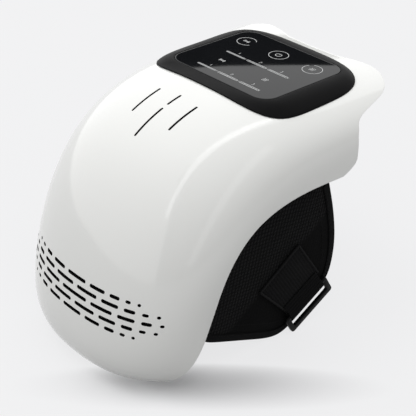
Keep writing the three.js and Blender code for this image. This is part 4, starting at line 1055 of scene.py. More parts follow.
@dataclass
class ControlPanel(Assembly):
    """Raised frame, smoked cover and printed marks on the thigh arm. Millimetres."""

    centre: float = 61.02
    half_width: float = 72
    half_length: float = 57.294
    squareness: float = 4.2
    ledge: float = 6
    rise: float = 2.7
    tilt: float = math.radians(2.5)
    edge: float = 1
    foot_shares: Triple = (0.35, 0.7, 0.92)
    foot_lean: Pair = (0.5, 0.6)  # how far the foot's top leans inward, and by what share
    roll: float = 2
    roll_shares: tuple[float, float, int] = (0.985, 0.02, 14)
    brow_ease: Table = ((0.25, -0.04), (0, -0.3))  # past the recess's edge, and its height
    gap: float = 0.3
    spigot_depth: float = 5
    spigot_wall: float = 2
    lens_place: Pair = (1.5, 1.3)
    lens_half_width: float = 53.2
    lens_half_length: float = 45.6
    lens_corner: float = 13
    lens_thickness: float = 2
    lens_ledge: float = 3
    lens_edge: Table = ((0, -0.35), (0.1, -0.12), (0.35, 0), (0.8, 0), (2.5, 0))  # inset and height
    ledge_thickness: float = 1.8
    key_spacing: float = 36
    key_row: float = 24.7
    key_shift: float = -0.5
    ring_radius: float = 8
    line: float = 0.45
    power_line: float = 0.5
    digit_line: float = 0.32
    mark_height: float = 0.05
    sign_size: float = 2.6
    heat_size: float = 2.8
    bar_rows: Pair = (-1.8, -34.8)
    bar_shifts: Pair = (0.8, 2.7)
    bar_spacing: float = 23
    bar_size: Pair = (20.5, 2.2)
    digit_rise: float = 4.6
    ticks: int = 11
    tick_width: float = 0.4
    end_tick: Triple = (0.6, 2, 0.3)  # its place past the bar, its height and its width
    icon_row: float = -17.4
    icon_shift: float = 2.2
    icon_spacing: float = 47

    @property
    def height(self) -> float:
        """Height of the panel's plane at its centre."""
        return float(self.form.height_over(0, self.centre)) + self.rise

    def lens_ring(self, inset: float) -> Array:
        """The cover's outline moved inward."""
        sizes = (self.lens_half_width, self.lens_half_length, self.lens_corner)
        return ring_points(*(size - inset for size in sizes))

    def outline_at(self, inset: float) -> Array:
        """The panel's outline moved inward, point for point with the cover's outline."""
        spot = self.lens_ring(0)
        turn = np.arctan2(spot[:, 1] / self.lens_half_length, spot[:, 0] / self.lens_half_width)
        ray = circle(turn)
        reach = (np.abs(ray) ** self.squareness).sum(1) ** (-1 / self.squareness)
        return ray * reach[:, None] * (self.half_width - inset, self.half_length - inset)

    def over_shell(self, inset: float, lift: float) -> Array:
        """The panel's outline laid on the shell."""
        spot = self.outline_at(inset) + (0, self.centre)
        return np.column_stack([spot, self.form.height_over(spot[:, 0], spot[:, 1]) + lift])

    def on_panel(self, flat: Array, height: float) -> Array:
        """Points of the cover's plane in the object's axes."""
        x, y = (np.asarray(flat, float) + self.lens_place).T
        c, s = math.cos(self.tilt), math.sin(self.tilt)
        return np.column_stack([x, y * c + height * s + self.centre, height * c - y * s + self.height])

    def frame_sections(self) -> Array:
        """The raised frame's profile at each point of its outline."""
        rim, outer = self.over_shell(0, self.gap + self.edge), self.over_shell(0, self.gap)
        leaning, lean = self.over_shell(self.foot_lean[0], 0)[:, :2], self.foot_lean[1]
        brow = self.on_panel(self.lens_ring(-self.gap), 0)
        profile = [outer]
        for share in self.foot_shares:
            step = lerp(outer, rim, share)
            step[:, :2] = lerp(step[:, :2], leaning, share**3 * lean)
            profile.append(step)
        for share in np.linspace(*self.roll_shares):
            slope = lerp(brow, rim, share)
            slope[:, 2] = lerp(brow[:, 2], rim[:, 2], share**self.roll)
            profile.append(slope)
        for past, height in self.brow_ease:
            profile.append(self.on_panel(self.lens_ring(-self.gap - past), height))
        floor = -self.lens_thickness - self.gap
        ledge, spigot = self.lens_ring(self.lens_ledge), self.ledge + self.gap
        profile += [
            self.on_panel(self.lens_ring(-self.gap), floor),
            self.on_panel(ledge, floor),
            self.on_panel(ledge, floor - self.ledge_thickness),
            self.over_shell(spigot + self.spigot_wall, -self.form.wall),
            self.over_shell(spigot + self.spigot_wall, -self.spigot_depth),
            self.over_shell(spigot, -self.spigot_depth),
            self.over_shell(spigot, self.gap),
        ]
        return np.stack(profile, 1)

    def build_frame(self) -> None:
        """Makes the raised frame."""
        piece = Draft.sweep(self.frame_sections(), True).build("panel_frame")
        self.add(piece, self.finishes.bezel, "housing", "bezel", 45, ["panel_bezel"])

    def build_cover(self) -> None:
        """Makes the smoked cover with its eased edge."""
        levels = ((0, -self.lens_thickness), *self.lens_edge)
        sections = np.stack([self.on_panel(self.lens_ring(inset), height) for inset, height in levels])
        piece = Draft.sweep(sections, False).build("panel_cover")
        self.add(piece, self.finishes.lens, "housing", "lens", 30, ["touch_lens"])

    def stroke(self, path: Any, width: float | None = None, closed: bool = False) -> Draft:
        """A flat line on the cover.

        Args:
            path: Its points in the cover's plane.
            width: Its width, or None for the usual line.
            closed: Whether it joins up.

        Returns:
            The line as a thin body.
        """
        points = np.asarray(path, float)
        beside = turned_left(path_run(points, closed)) * (width or self.line) / 2
        corners = ((1, 0), (1, self.mark_height), (-1, self.mark_height), (-1, 0))
        sections = np.stack([self.on_panel(points + beside * way, height) for way, height in corners], 1)
        return Draft.sweep(sections, closed)

    def heat_sign(self, x: float, y: float, size: float) -> list[Draft]:
        """Three rising waves."""
        rise = np.linspace(-1, 1, 14)
        wave = np.stack([0.16 * np.sin(3 * rise), 0.8 * rise], -1)
        return [self.stroke((x, y) + size * (wave + (k * 0.55, 0))) for k in (-1, 0, 1)]

    def shake_sign(self, x: float, y: float, size: float) -> list[Draft]:
        """A dot between arcs."""
        dot = self.stroke(arc(x, y, size * 0.3, 0, 360, 18)[:-1], closed=True)
        spans = [(size * reach, start, start + 84) for reach in (0.65, 1.0) for start in (-42, 138)]
        return [dot, *(self.stroke(arc(x, y, *span, 12)) for span in spans)]

    def power_sign(self, x: float, y: float, size: float) -> list[Draft]:
        """An open ring with a line."""
        upright = [(x, y + size * 0.2), (x, y + size * 1.15)]
        return [self.stroke(path, self.power_line) for path in (arc(x, y, size, 120, 420, 30), upright)]

    def digit(self, number: int, x: float, y: float, size: float) -> Draft:
        """A plain number from 1 to 3."""
        across, upright = (
            ((-0.2, 0, 0), (0.3, 0.5, -0.5)),
            ((-0.3, -0.1, 0.15, 0.3, 0.25, -0.3, 0.32), (0.3, 0.5, 0.5, 0.3, 0.05, -0.5, -0.5)),
            ((-0.28, 0.05, 0.28, 0.02, 0.3, 0.05, -0.3), (0.42, 0.5, 0.3, 0.03, -0.22, -0.5, -0.4)),
        )[number - 1]
        return self.stroke((x, y) + size * np.stack([across, upright], -1), self.digit_line)

    def dim_segment(self, x: float, y: float) -> list[Draft]:
        """A level bar's unlit segment: its outline and fine ticks."""
        length, width = self.bar_size
        half = width / 2 - self.tick_width / 2
        spots = np.linspace(x + width - length / 2, x - width + length / 2, self.ticks)
        ring = slot_outline(length, 2 * half) + (x, y)
        ticks = [self.stroke([(spot, y - half), (spot, y + half)], self.tick_width) for spot in spots]
        return [self.stroke(ring, self.tick_width, True), *ticks]

    def build_marks(self) -> None:
        """Makes the rings, signs, level bars and numbers."""
        keys = [(k * self.key_spacing + self.key_shift, self.key_row) for k in (-1, 0, 1)]
        left, right = (self.icon_shift + k * self.icon_spacing / 2 for k in (-1, 1))
        lines = [
            self.stroke(arc(*keys[0], self.ring_radius, 40, 330, 40)),
            self.stroke(arc(*keys[1], self.ring_radius, 0, 360, 40)[:-1], closed=True),
            self.stroke(arc(*keys[2], self.ring_radius, 150, 480, 40)),
            *self.shake_sign(*keys[0], self.sign_size),
            *self.power_sign(*keys[1], self.sign_size),
            *self.heat_sign(*keys[2], self.heat_size),
            *self.shake_sign(left, self.icon_row, self.sign_size),
            *self.heat_sign(right, self.icon_row, self.heat_size),
        ]
        bars = []
        length, width = self.bar_size
        beyond, tall, thin = self.end_tick
        for y, shift in zip(self.bar_rows, self.bar_shifts):
            for k in (-1, 0, 1):
                x = k * self.bar_spacing + shift
                if k < 0:
                    outline = slot_outline(length, width) + (x, y)
                    flats = [self.on_panel(outline, height) for height in (0, self.mark_height)]
                    bars.append(Draft.sweep(np.stack(flats), False))
                else:
                    lines += self.dim_segment(x, y)
                end = x + length / 2 + beyond
                lines.append(self.digit(k + 2, x, y + self.digit_rise, self.sign_size))
                lines.append(self.stroke([(end, y - tall / 2), (end, y + tall / 2)], thin))
        for name, drafts, finish in (
            ("panel_marks", lines, self.finishes.print), ("panel_level_bars", bars, self.finishes.bars),
        ):
            self.add(Draft.joined(drafts).build(name), finish, "housing", "lens", None)

    def build(self) -> None:
        """Makes the whole panel."""
        self.build_frame()
        self.build_cover()
        self.build_marks()


@dataclass
class Lining(Assembly):
    """The quilted pad against the knee, with piping and stitched channels. Millimetres."""

    gap: float = 0.3
    film: float = 0.8
    wing: float = 4
    thickness: float = 8
    edge_thickness: float = 3
    span: Pair = (0.035, 0.04)
    side: float = 0.95
    channel_share: float = 0.6
    crown_share: float = 1.04
    pucker: Triple = (0.22, 400, 330)  # its depth, and its waves along and across
    panels: tuple[int, int] = (4, 3)
    cells: tuple[int, int] = (128, 108)
    rim_cells: int = 119
    seam_span: tuple[float, float, int] = (0.02, 0.98, 150)
    cloth_size: Pair = (400, 300)
    piping: float = 1.5
    thread: Stitching = Stitching(4.2, 3.0, 0.3)

    def depths(self, place: Array, drop: Array) -> tuple[Array, Array]:
        """Depths of the lining's faces below the liner."""
        crown, side = self.form.liner_depths(place)
        under = self.form.liner_wall + self.gap
        return crown + under + self.film + self.gap + drop, side + under + self.wing + 2 * self.gap + drop

    def spot(self, along: Array, across: Array, drop: Array) -> Array:
        """Points of the lining on its own grid."""
        side = lerp(-self.side, self.side, across)
        place = lerp(self.span[0], self.form.liner_rim(side) - self.span[1], along)
        return self.form.layer(place, side, *self.depths(place, drop))

    def thickness_at(self, along: Array, across: Array) -> Array:
        """Thickness, crowned between the channels and drawn in at the edges."""
        crown = [
            np.abs(np.sin(math.pi * share * count)) ** 0.5
            for share, count in zip((along, across), self.panels)
        ]
        edge = np.minimum.reduce([along, 1 - along, across, 1 - across]) * 2 * self.panels[1]
        full = self.thickness * lerp(self.channel_share, self.crown_share, crown[0] * crown[1])
        return np.where(edge < 1, lerp(self.edge_thickness, full, np.sqrt(np.clip(edge, 0, 1))), full)

    def outward(self, along: Array, across: Array, drop: Array) -> Array:
        """Directions away from the liner, towards the knee."""
        return unit(self.spot(along, across, drop + 1) - self.spot(along, across, drop))

    def build(self) -> None:
        """Makes pad, piping and stitches."""
        along, across = np.moveaxis(pairs(*(np.linspace(0, 1, count + 1) for count in self.cells)), -1, 0)
        plain = 1 - np.abs(np.sin(math.pi * across * self.panels[1]))
        depth, wave, ripple = self.pucker
        pucker = depth * np.sin(along * wave) * np.sin(across * ripple) * plain
        lower = self.spot(along, across, self.thickness_at(along, across) + pucker)
        upper = self.spot(along, across, np.zeros(along.shape))
        uvs = np.stack([along, across], -1) * self.cloth_size
        pad = Draft.sheet(lower, upper, uvs).build("knee_lining")
        self.add(pad, self.finishes.lining, "housing", "pad", 60, ["knee_pad"])
        self.build_seams()

    def build_seams(self) -> None:
        """Makes the piping round the edge and the stitches in the channels."""
        steps = np.linspace(0, 1, self.rim_cells + 1)[:-1]
        zeros, ones = np.zeros(self.rim_cells), np.ones(self.rim_cells)
        along = np.concatenate([zeros, steps, ones, 1 - steps])
        across = np.concatenate([steps, ones, 1 - steps, zeros])
        rim = self.spot(along, across, np.full(len(along), self.edge_thickness / 2))
        piping = Draft.tube(rim, self.piping, True)
        rows = []
        run = np.linspace(*self.seam_span)
        for axis, count in enumerate(self.panels):
            for fixed in np.arange(1, count) / count:
                line = np.full(run.shape, fixed)
                places = (run, line) if axis else (line, run)
                drop = self.thickness_at(*places)
                rows.append(self.thread.row(self.spot(*places, drop), self.outward(*places, drop)))
        self.add(piping.build("knee_lining_piping"), self.finishes.tape, "housing", "pad", 60)
        self.add(Draft.joined(rows).build("knee_lining_stitches"), self.finishes.thread, "housing", "pad", 60)


@dataclass
class SideWing(Assembly):
    """A fabric wing with its bound edge, webbing tab and buckle. Millimetres."""

    side: Side = Side.RIGHT
    gap: float = 0.3
    span: Pair = (0.03, 0.77)
    thickness: float = 4
    edge_thickness: float = 3
    drop: float = 4
    depth: float = 95
    toe_in: float = math.radians(3.5)
    tuck: float = 0.86
    swell: Triple = (0.25, 0.11, 0.09)  # its height, and its waves along and down
    outline: Table = (
        (-0.012, 0.01), (-0.031, 0.085), (-0.006, 0.191), (0.071, 0.411), (0.1605, 0.672), (0.246, 0.92),
        (0.344, 1.027), (0.53, 1), (0.69, 1.02), (0.783, 0.87), (0.867, 0.666), (0.931, 0.4), (0.966, 0.216),
        (1, 0.01),
    )
    rows: tuple[int, int, int] = (6, 6, 55)
    columns: int = 120
    bend: Pair = (-2.5, 4)  # where the cloth starts and ends to bend, down from the root line
    tape_width: float = 7.4
    tape_wall: float = 0.6
    tape_nose: float = 1.4
    tape_fold: float = 0.5
    tape_bevels: Triple = (0.2, 0.1, 0.15)  # of its outer edge, its inner edge and its lift
    tape_columns: int = 160
    seams: Pair = (-1.3, 7.5)  # from the tape's edge
    seam_span: tuple[float, float, int] = (0.03, 0.97, 300)
    seam_start: float = 3
    slope_step: float = 0.002
    flex_gap: float = 0.8
    tab_corners: Table = ((0.346, 0.253), (0.671, 0.253), (0.674, 0.79), (0.393, 0.79))
    tab_thickness: float = 1.5
    tab_round: float = 0.5
    tab_seams: Pair = (2.9, 5.2)
    tab_thread: Stitching = Stitching(2.9, 2.1, 0.22)
    fold_inset: float = 1
    fold_radius: float = 0.85
    webbing: float = 38.5
    loop_start: float = -14
    loop_rise: float = 0.95
    loop_corner: float = 0.5
    buckle_place: Pair = (0.518, 0.863)
    buckle_turn: float = math.radians(5)
    bar_radius: float = 2
    buckle_width: float = 49.5
    buckle_length: float = 18.5
    buckle_thickness: float = 3.2
    buckle_rail: float = 4.8
    buckle_corner: float = 2.5
    buckle_round: float = 0.7
    side_play: float = 1

    def __post_init__(self) -> None:
        """Works out the wing's plane and the buckle's place from the shell."""
        under = self.form.liner_wall + self.gap
        start, end = (
            self.form.layer(place, 1.0, *self.form.liner_depths(np.array(place), under + self.thickness / 2))
            for place in self.span
        )
        self.length = float(np.linalg.norm(end - start))
        self.run = unit(end - start)
        flat_out = unit(np.array([1.0, 0, 0]) - self.run * self.run[0])
        flat_down = np.cross(self.run, flat_out)
        self.out = flat_out * math.cos(self.toe_in) + flat_down * math.sin(self.toe_in)
        self.down = flat_down * math.cos(self.toe_in) - flat_out * math.sin(self.toe_in)
        self.start = start + flat_down * self.drop
        c, s = math.cos(self.buckle_turn), math.sin(self.buckle_turn)
        self.bar = self.run * c + self.down * s
        self.strap = self.down * c - self.run * s
        self.tab_foot = self.thickness / 2 + self.gap
        self.loop_radius = self.bar_radius + self.gap + self.tab_thickness
        along, down = self.buckle_place[0] * self.length, self.buckle_place[1] * self.depth
        self.buckle_centre = self.point(along, down, self.tab_foot + self.loop_radius)

    def point(self, along: Any, down: Any, out: Any) -> Array:
        """Points of the wing: along its chord, down from it and out of its plane."""
        along, down, out = (np.asarray(v, float)[..., None] for v in (along, down, out))
        return self.start + along * self.run + down * self.down + out * self.out

    def edge(self, place: Array, inset: Any) -> Array:
        """The free edge moved inward, at places from 0 at the shin to 1 at the thigh."""
        size = np.array((self.length, self.depth))
        ahead = spline_row(self.outline, place + self.slope_step) * size
        behind = spline_row(self.outline, place - self.slope_step) * size
        inward = -turned_left(unit(ahead - behind))
        return spline_row(self.outline, place) * size + inward * np.asarray(inset, float)[..., None]

    def name(self, word: str) -> str:
        """A piece's name with the side."""
        return f"{word}_{self.side.word}"

    def mirrored(self, vector: Array) -> Array:
        """A point or direction of the right wing on this wing's side."""
        return vector * (self.side.value, 1, 1)

    def put(self, draft: Draft, word: str, material: Material, slot: str, angle: float,
            stands_for: Sequence[str] = ()) -> None:
        """Adds a piece that rides on the wing.

        Args:
            draft: Its form on the right wing.
            word: Its name without the side.
            material: Its material.
            slot: The record's material slot.
            angle: The sharpest edge that is shaded smooth, in degrees.
            stands_for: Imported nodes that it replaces, without the side.
        """
        piece = draft.sided(self.side).build(self.name(word))
        self.add(piece, material, self.name("wing"), slot, angle, [self.name(node) for node in stands_for])

    def cloth_faces(self, out: int, rows: Array, shares: Array) -> tuple[Array, Array]:
        """One face of the cloth, from its tucked-in root to its free edge.

        Args:
            out: 1 for the outward face and -1 for the other.
            rows: Rows from 0 to 2 over the root and from 2 to 3 over the free part.
            shares: Places along the chord.

        Returns:
            The grid of points and their UV places.
        """
        row, share = np.broadcast_arrays(rows[:, None], shares[None, :])
        place = lerp(*self.span, share)
        drop = self.form.liner_wall + self.gap + (0 if out > 0 else self.thickness)
        side = lerp(self.tuck, 1.0, np.minimum(row, 1))
        tucked = self.form.layer(place, side, *self.form.liner_depths(place, drop))
        inset = self.tape_wall + self.gap
        edge = self.edge(share, inset)
        first, last = self.edge(np.array([0.0, 1.0]), inset)[:, 0]
        free = np.clip(row - 2, 0, 1)
        along = lerp(lerp(first, last, share), edge[..., 0], free)
        down = np.maximum(edge[..., 1], self.flex_gap) * free
        line = self.edge(np.linspace(0, 1, self.columns), 0)
        flat = np.stack([along, down], -1)
        near = np.min(np.linalg.norm(flat[..., None, :] - line, axis=-1), -1) / self.tape_width - 1
        near = np.clip(near, 0, 1)
        thick = np.where(row > 2, lerp(self.edge_thickness, self.thickness, near), self.thickness)
        height, wave, ripple = self.swell
        swell = height * np.sin(along * wave + 1) * np.sin(down * ripple) * near
        hung = self.point(along, down, out * thick / 2 + swell * (row > 2))
        points = lerp(tucked, hung, np.clip(row - 1, 0, 1)[..., None])
        steps = np.linalg.norm(np.diff(points, axis=0), axis=-1)
        run = np.concatenate([np.zeros((1, len(shares))), np.cumsum(steps, 0)])
        above = run - run[np.searchsorted(rows, 2)]
        return points, np.stack([along, np.where(row > 2, down, above)], -1)

    def build_cloth(self) -> None:
        """Makes the wing's cloth, which bends where it leaves the shell."""
        rows = [k + np.linspace(0, 1, count, endpoint=False) for k, count in enumerate(self.rows)]
        rows = np.concatenate([*rows, [3]])
        shares = np.linspace(0, 1, self.columns + 1)
        outer, uvs = self.cloth_faces(1, rows, shares)
        inner, _ = self.cloth_faces(-1, rows, shares)
        cloth = Draft.sheet(outer, inner, uvs).sided(self.side).build(self.name("wing_cloth"))
        nodes = [self.name(part) for part in ("wing_root", "wing_flap")]
        self.add(cloth, self.finishes.wing, None, "wing", 50, nodes)
        middle = self.length / 2
        start, end = (STANCE.world(self.mirrored(self.point(middle, down, 0))) for down in self.bend)
        self.name("wing")
        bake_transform(cloth)

    def build_tape(self) -> None:
        """Makes the edge binding and its stitches."""
        half = self.edge_thickness / 2 + self.gap
        outer = half + self.tape_wall
        lip, step, lift = self.tape_bevels
        edge, lip, nose = self.tape_width, self.tape_width - lip, self.tape_nose
        bend = arc(0, 0, 1, -90, 90)
        nose_out = (nose, 0) + bend * (-nose, outer)
        nose_in = (nose + self.tape_fold, 0) + bend * (step - nose, half)
        hook = np.concatenate([
            [(edge, -half - lift), (lip, -outer)], nose_out,
            [(lip, outer), (edge, half + lift), (lip - step, half)], nose_in[::-1], [(lip - step, -half)],
        ])
        places = np.linspace(0, 1, self.tape_columns + 1)
        place, inset = np.meshgrid(places, hook[:, 0], indexing="ij")
        flat = self.edge(place, inset)
        sections = self.point(flat[..., 0], np.maximum(flat[..., 1], self.flex_gap), hook[None, :, 1])
        uvs = pairs(run_lengths(self.edge(places, 0)), hook[:, 0] * np.sign(hook[:, 1] + 0.01))
        tape = Draft.sweep(sections, False, uvs)
        self.put(tape, "wing_edge_tape", self.finishes.tape, "binding", 50, ["wing_binding"])
        rows = []
        for seam, level in zip(self.seams, (outer, self.thickness / 2)):
            line = self.edge(np.linspace(*self.seam_span), self.tape_width + seam)
            line = line[line[:, 1] > self.seam_start]
            for face in (1, -1):
                rows.append(Stitching().row(self.point(*line.T, face * level), self.out * face))
        self.put(Draft.joined(rows), "wing_stitches", self.finishes.thread, "binding", 60)

    def tab_outline(self, inset: float) -> Array:
        """The sewn patch's outline in the wing's plane, moved inward."""
        corners = np.array(self.tab_corners) * (self.length, self.depth)
        moved = []
        for k, corner in enumerate(corners):
            ahead, behind = unit(corners[(k + 1) % 4] - corner), unit(corners[k - 1] - corner)
            moved.append(corner + (ahead + behind) * inset / abs(ahead[0] * behind[1] - ahead[1] * behind[0]))
        return np.array(moved)

    def build_tab(self) -> None:
        """Makes the sewn webbing patch, its folded edge, its loop and its stitches."""
        axes = np.stack([self.run, self.down, self.out])
        level = self.tab_foot + self.tab_thickness
        patch = Draft.prism(self.tab_outline(0), self.tab_foot, level).moved(axes, self.start)
        piece = patch.sided(self.side).build(self.name("tab_patch"))
        Bench.round_edges(piece, self.tab_round, 3)
        self.add(piece, self.finishes.webbing, self.name("wing"), "webbing", 50, [self.name("strap_tab")])
        self.build_loop()
        ring = self.tab_outline(self.fold_inset)
        shares = np.linspace(0, 1, 24, endpoint=False)[:, None]
        path = np.concatenate([*(lerp(ring[k - 1], ring[k], shares) for k in range(3)), ring[2:3]])
        # The folded edge gets the lighter finish, which is painted sheen.
        fold = Draft.tube(self.point(*path.T, level - 0.1), self.fold_radius)
        self.put(fold, "tab_fold", self.finishes.fold, "webbing", 60)
        rows = []
        for inset in self.tab_seams:
            square = self.tab_outline(inset)
            for start, end in zip(square, np.roll(square, -1, 0)):
                line = lerp(start, end, np.linspace(0, 1, 40)[:, None])
                rows.append(self.tab_thread.row(self.point(*line.T, level), self.out))
        self.put(Draft.joined(rows), "tab_stitches", self.finishes.thread, "webbing", 60)

    def build_loop(self) -> None:
        """Makes the end of the webbing that goes round the buckle's bar."""
        radius = self.loop_radius - self.tab_thickness / 2
        foot = np.array([self.loop_start, self.loop_rise - radius])
        apart = math.acos(radius / np.linalg.norm(foot))
        touch = math.atan2(foot[1], foot[0]) - apart + 2 * math.pi
        turn = radius * circle(np.linspace(-math.pi / 2, touch, 40))
        lower = np.stack([np.linspace(self.loop_start, -self.gap, 12), np.full(12, -radius)], -1)
        upper = lerp(turn[-1], foot, np.linspace(0, 1, 13)[1:, None])
        path = np.concatenate([lower, turn, upper])
        normal = turned_left(path_run(path))
        flat = ring_points(self.webbing / 2, self.tab_thickness / 2, self.loop_corner, 4, 4)
        sections = np.concatenate([
            path[:, None, :] + flat[None, :, 1:] * normal[:, None, :],
            np.broadcast_to(flat[None, :, :1], (len(path), len(flat), 1)),
        ], -1)
        axes = np.stack([self.strap, self.out, self.bar])
        loop = Draft.sweep(sections, False, pairs(run_lengths(path), flat[:, 0]))
        self.put(loop.moved(axes, self.buckle_centre), "tab_loop", self.finishes.webbing, "webbing", 50)

    def buckle_outline(self) -> Array:
        """The buckle's three rails in plan, in its own axes."""
        corner, nick = self.buckle_corner, self.buckle_corner / 2
        low, high = -self.bar_radius, self.buckle_length - self.bar_radius
        side, top, foot = self.buckle_width / 2 - corner, high - corner, low + corner
        inner = self.webbing / 2 + self.side_play
        slot = high - self.buckle_rail - nick
        return np.concatenate([
            arc(side, foot, corner, -90, 0), arc(side, top, corner, 0, 90),
            arc(-side, top, corner, 90, 180), arc(-side, foot, corner, 180, 270),
            [(-inner, low)], arc(nick - inner, slot, nick, 180, 90),
            arc(inner - nick, slot, nick, 90, 0), [(inner, low)],
        ])

    def build_buckle(self) -> None:
        """Makes the buckle: three rails and the round bar in the webbing's loop."""
        half = self.buckle_thickness / 2
        frame = Draft.prism(self.buckle_outline(), -half, half)
        reach = self.webbing / 2 + self.side_play + self.bar_radius
        bar = Draft.tube(np.outer(np.linspace(-reach, reach, 6), (1, 0, 0)), self.bar_radius, False, 20)
        along = STANCE.direction(self.mirrored(self.bar))
        upright = STANCE.direction((0, 0, -1))
        hang = unit(upright - along * np.dot(upright, along))
        axes = np.stack([along, hang, np.cross(along, hang)])
        origin = STANCE.world(self.mirrored(self.buckle_centre))
        for word, draft, stands_for in (
            ("strap_buckle", frame, [self.name("buckle")]), ("strap_buckle_bar", bar, []),
        ):
            piece = Draft(draft.points * MM, draft.faces).build(self.name(word), world=False)
            if draft is frame:
                Bench.round_edges(piece, self.buckle_round)
            piece.matrix_world = placed(origin, axes)
            self.add(piece, self.finishes.buckle, self.name("buckle"), "buckle", 40, stands_for)

    def build(self) -> None:
        """Makes the whole wing."""
        self.build_cloth()
        self.build_tape()
        self.build_tab()
        self.build_buckle()


@dataclass
class Internals(Assembly):
    """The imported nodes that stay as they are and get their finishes."""

    def build(self, nodes: Mapping[str, Piece]) -> None:
        """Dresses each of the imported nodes, given by name."""
        f = self.finishes
        dresses = {
            "inner_shell": f.liner, "shell_screw": f.steel, "vent_screen": f.shield, "light_shield": f.shield,
            "display_board": f.board, "main_board": f.board, "charging_port": f.port, "battery_tray": f.tray,
            "battery_cell": f.foil, "motor_can": f.can, "motor_bracket": f.tray, "eccentric_weight": f.sinter,
            "heating_film": f.film,
        }
        for name, node in nodes.items():
            for start, material in dresses.items():
                if name.startswith(start):
                    Bench.dress(node, material)
                    Bench.smooth_node(node)
                    LOG.info("%s: dressed", name)


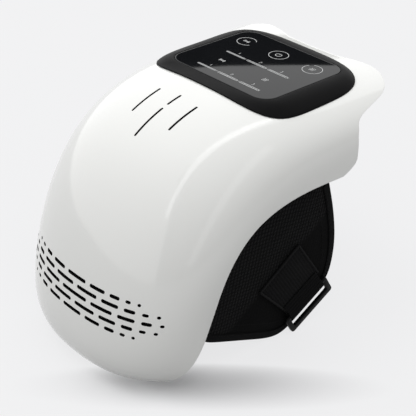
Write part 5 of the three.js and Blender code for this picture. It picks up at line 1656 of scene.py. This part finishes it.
@dataclass
class Studio:
    """Floor, light and camera. Metres."""

    camera_place: Triple = (0.551522, -0.511844, 0.561661)
    camera_axes: Table = (
        (0.68224, 0.731057, 0.010208), (-0.395116, 0.356912, 0.846462), (0.615168, -0.581523, 0.532352),
    )
    sensor: float = 36
    focal_pixels: float = 1108.67
    frame_pixels: float = 416
    floor_size: float = 12
    floor_color: Color = (0.888, 0.889, 0.898)
    floor_bounce: Color = (0.2, 0.2, 0.2)
    floor_speck: float = 0.004
    glow: float = 0.85
    shade_place: Pair = (0.084, -0.0765)
    shade_reach: Pair = (0.147, 0.0275)
    shade_turn: float = math.radians(47)
    sky: Triple = (0.655, -0.15, 0.39)  # in the middle, and what it gains to the east and upward
    sky_least: float = 0.05
    screen_light: float = 0.75
    screen_edge: Triple = (0.02, -0.6, -0.6)  # its place, where it bends and its slant from there
    screen_fade: float = 0.03
    key_power: float = 0.3
    key_aim: Triple = (-0.3, -0.25, 1.0)
    key_softness: float = math.radians(25)
    strips: tuple[tuple[Triple, Triple, float, float], ...] = (
        ((-0.06, 0.75, 1.25), (0.35, -2.2, 1.25), 0.1, 1.8),
        ((0.56, 0.35, 1.0), (1.15, -1.15, 0.22), 0.22, 0.7),
    )
    card_middle: Pair = (-0.6805, 0.7927)
    card_run: Pair = (-0.7327, -0.6805)
    card_edge: Table = (  # along the card, and its top's height
        (0.16, 0.6304), (0.09, 0.6211), (0.05, 0.6154), (-0.065, 0.6045), (-0.16, 0.5975),
    )
    card_depth: float = 0.11
    card_color: Color = (0.004, 0.004, 0.004)

    def camera(self) -> None:
        """Puts the camera where the picture was taken from."""
        data = bpy.data.cameras.new("picture_camera")
        data.sensor_width = self.sensor
        data.lens = self.sensor * self.focal_pixels / self.frame_pixels
        data.clip_start, data.clip_end = 0.05, 60
        camera = linked("picture_camera", data)
        camera.matrix_world = placed(self.camera_place, self.camera_axes)
        bpy.context.scene.camera = camera

    def floor(self) -> None:
        """Lays a wide pale floor, which glows to the eye everywhere but in the object's soft shadow."""
        half = self.floor_size / 2
        outline = ring_points(half, half, 0.5, 6, 2)
        face = tuple(range(len(outline)))
        floor = Draft(np.pad(outline, ((0, 0), (0, 1))), [face]).build("studio_floor", world=False)
        r = Recipe("studio_floor")
        path = r.node("ShaderNodeLightPath")
        seen = r.out(path, "Is Camera Ray").most(r.out(path, "Is Glossy Ray"))
        seen = seen.most(r.out(path, "Is Transmission Ray"))
        x, y, _ = r.parts(r.place())
        c, s = math.cos(self.shade_turn), math.sin(self.shade_turn)
        east, north = x - self.shade_place[0], y - self.shade_place[1]
        long, short = self.shade_reach
        far = ((east * c + north * s) / long) ** 2 + ((north * c - east * s) / short) ** 2
        speck = r.noise(3, 1) * self.floor_speck + (1 - self.floor_speck)
        glow = (far * self.glow).least(self.glow)
        black = (0.0, 0.0, 0.0)
        lit, glowing = (r.blend(share * speck, black, self.floor_color) for share in (1 - glow, glow))
        Bench.dress(floor, r.finish({
            "Base Color": r.blend(seen, self.floor_bounce, lit), "Roughness": 0.9, "Specular IOR Level": 0.0,
            "Emission Color": r.blend(seen, black, glowing), "Emission Strength": 1.0,
        }))

    def card(self) -> None:
        """Stands a dark card behind the object, which only the cover's reflection shows."""
        middle, beside = np.array([*self.card_middle, 0]), np.array([*self.card_run, 0])
        tops = [middle + beside * aside + (0, 0, z) for aside, z in self.card_edge]
        corners = np.array([*tops, *(top - (0, 0, self.card_depth) for top in reversed(tops))])
        card = Draft(corners, [tuple(range(len(corners)))]).build("studio_card", world=False)
        Bench.dress(card, Recipe("studio_card").finish({"Base Color": self.card_color, "Roughness": 1.0}))
        card.visible_camera = card.visible_diffuse = card.visible_shadow = False

    def key_lamp(self) -> None:
        """Hangs a soft lamp that draws no highlight."""
        data = bpy.data.lights.new("key_lamp", "SUN")
        data.energy, data.angle = self.key_power, self.key_softness
        lamp = linked("key_lamp", data)
        lamp.visible_glossy = False
        lamp.rotation_mode = "QUATERNION"
        lamp.rotation_quaternion = Vector(self.key_aim).to_track_quat("Z", "Y")

    @staticmethod
    def strip(start: Triple, end: Triple, width: float, power: float) -> None:
        """Hangs a long lamp that only draws a soft highlight.

        Args:
            start: One end.
            end: The other end.
            width: Its width.
            power: Its power.
        """
        first, last = Vector(start), Vector(end)
        along = (last - first).normalized()
        across = along.cross(Vector((0, 0, 1))).normalized()
        data = bpy.data.lights.new("strip_lamp", "AREA")
        data.shape = "RECTANGLE"
        data.size, data.size_y, data.energy = width, (last - first).length, power
        lamp = linked("strip_lamp", data)
        lamp.visible_camera = lamp.visible_diffuse = False
        lamp.matrix_world = placed((first + last) / 2, (across, along, across.cross(along)))

    def world(self) -> None:
        """Fills the room with light that is stronger from above and from the far side."""
        r = Recipe("studio_room", bpy.data.worlds)
        bpy.context.scene.world = r.material
        x, y, z = r.parts(r.place("Generated"))
        level, east, upward = self.sky
        middle, bend, slant = self.screen_edge
        edge = middle + (y - bend).least(0) * slant
        near = ((edge - x) / self.screen_fade).most(0).least(1)
        glossy = r.out(r.node("ShaderNodeLightPath"), "Is Glossy Ray")
        light = (level + x * east + z * upward).most(self.sky_least) + near * glossy * self.screen_light
        room = r.out(r.node("ShaderNodeBackground", None, {"Color": light}))
        r.node("ShaderNodeOutputWorld", None, {"Surface": room})

    def build(self) -> None:
        """Sets up the whole studio."""
        self.camera()
        self.floor()
        self.card()
        self.world()
        self.key_lamp()
        for strip in self.strips:
            self.strip(*strip)
        bpy.context.scene.view_settings.view_transform = "Standard"


def main() -> None:
    """Builds the dressed massager in its studio."""
    logging.basicConfig(level=logging.INFO, format="%(name)s: %(message)s")
    bpy.ops.wm.read_factory_settings(use_empty=True)
    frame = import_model()
    form, finishes = ShellForm(), Finishes()
    panel = ControlPanel(form, finishes)
    OuterShell(form, finishes).build(panel)
    panel.build()
    Lining(form, finishes).build()
    for side in Side:
        SideWing(form, finishes, side=side).build()
    Internals(form, finishes).build(frame["nodes"])
    Studio().build()
    LOG.info("finished")


if __name__ == "__main__":
    main()
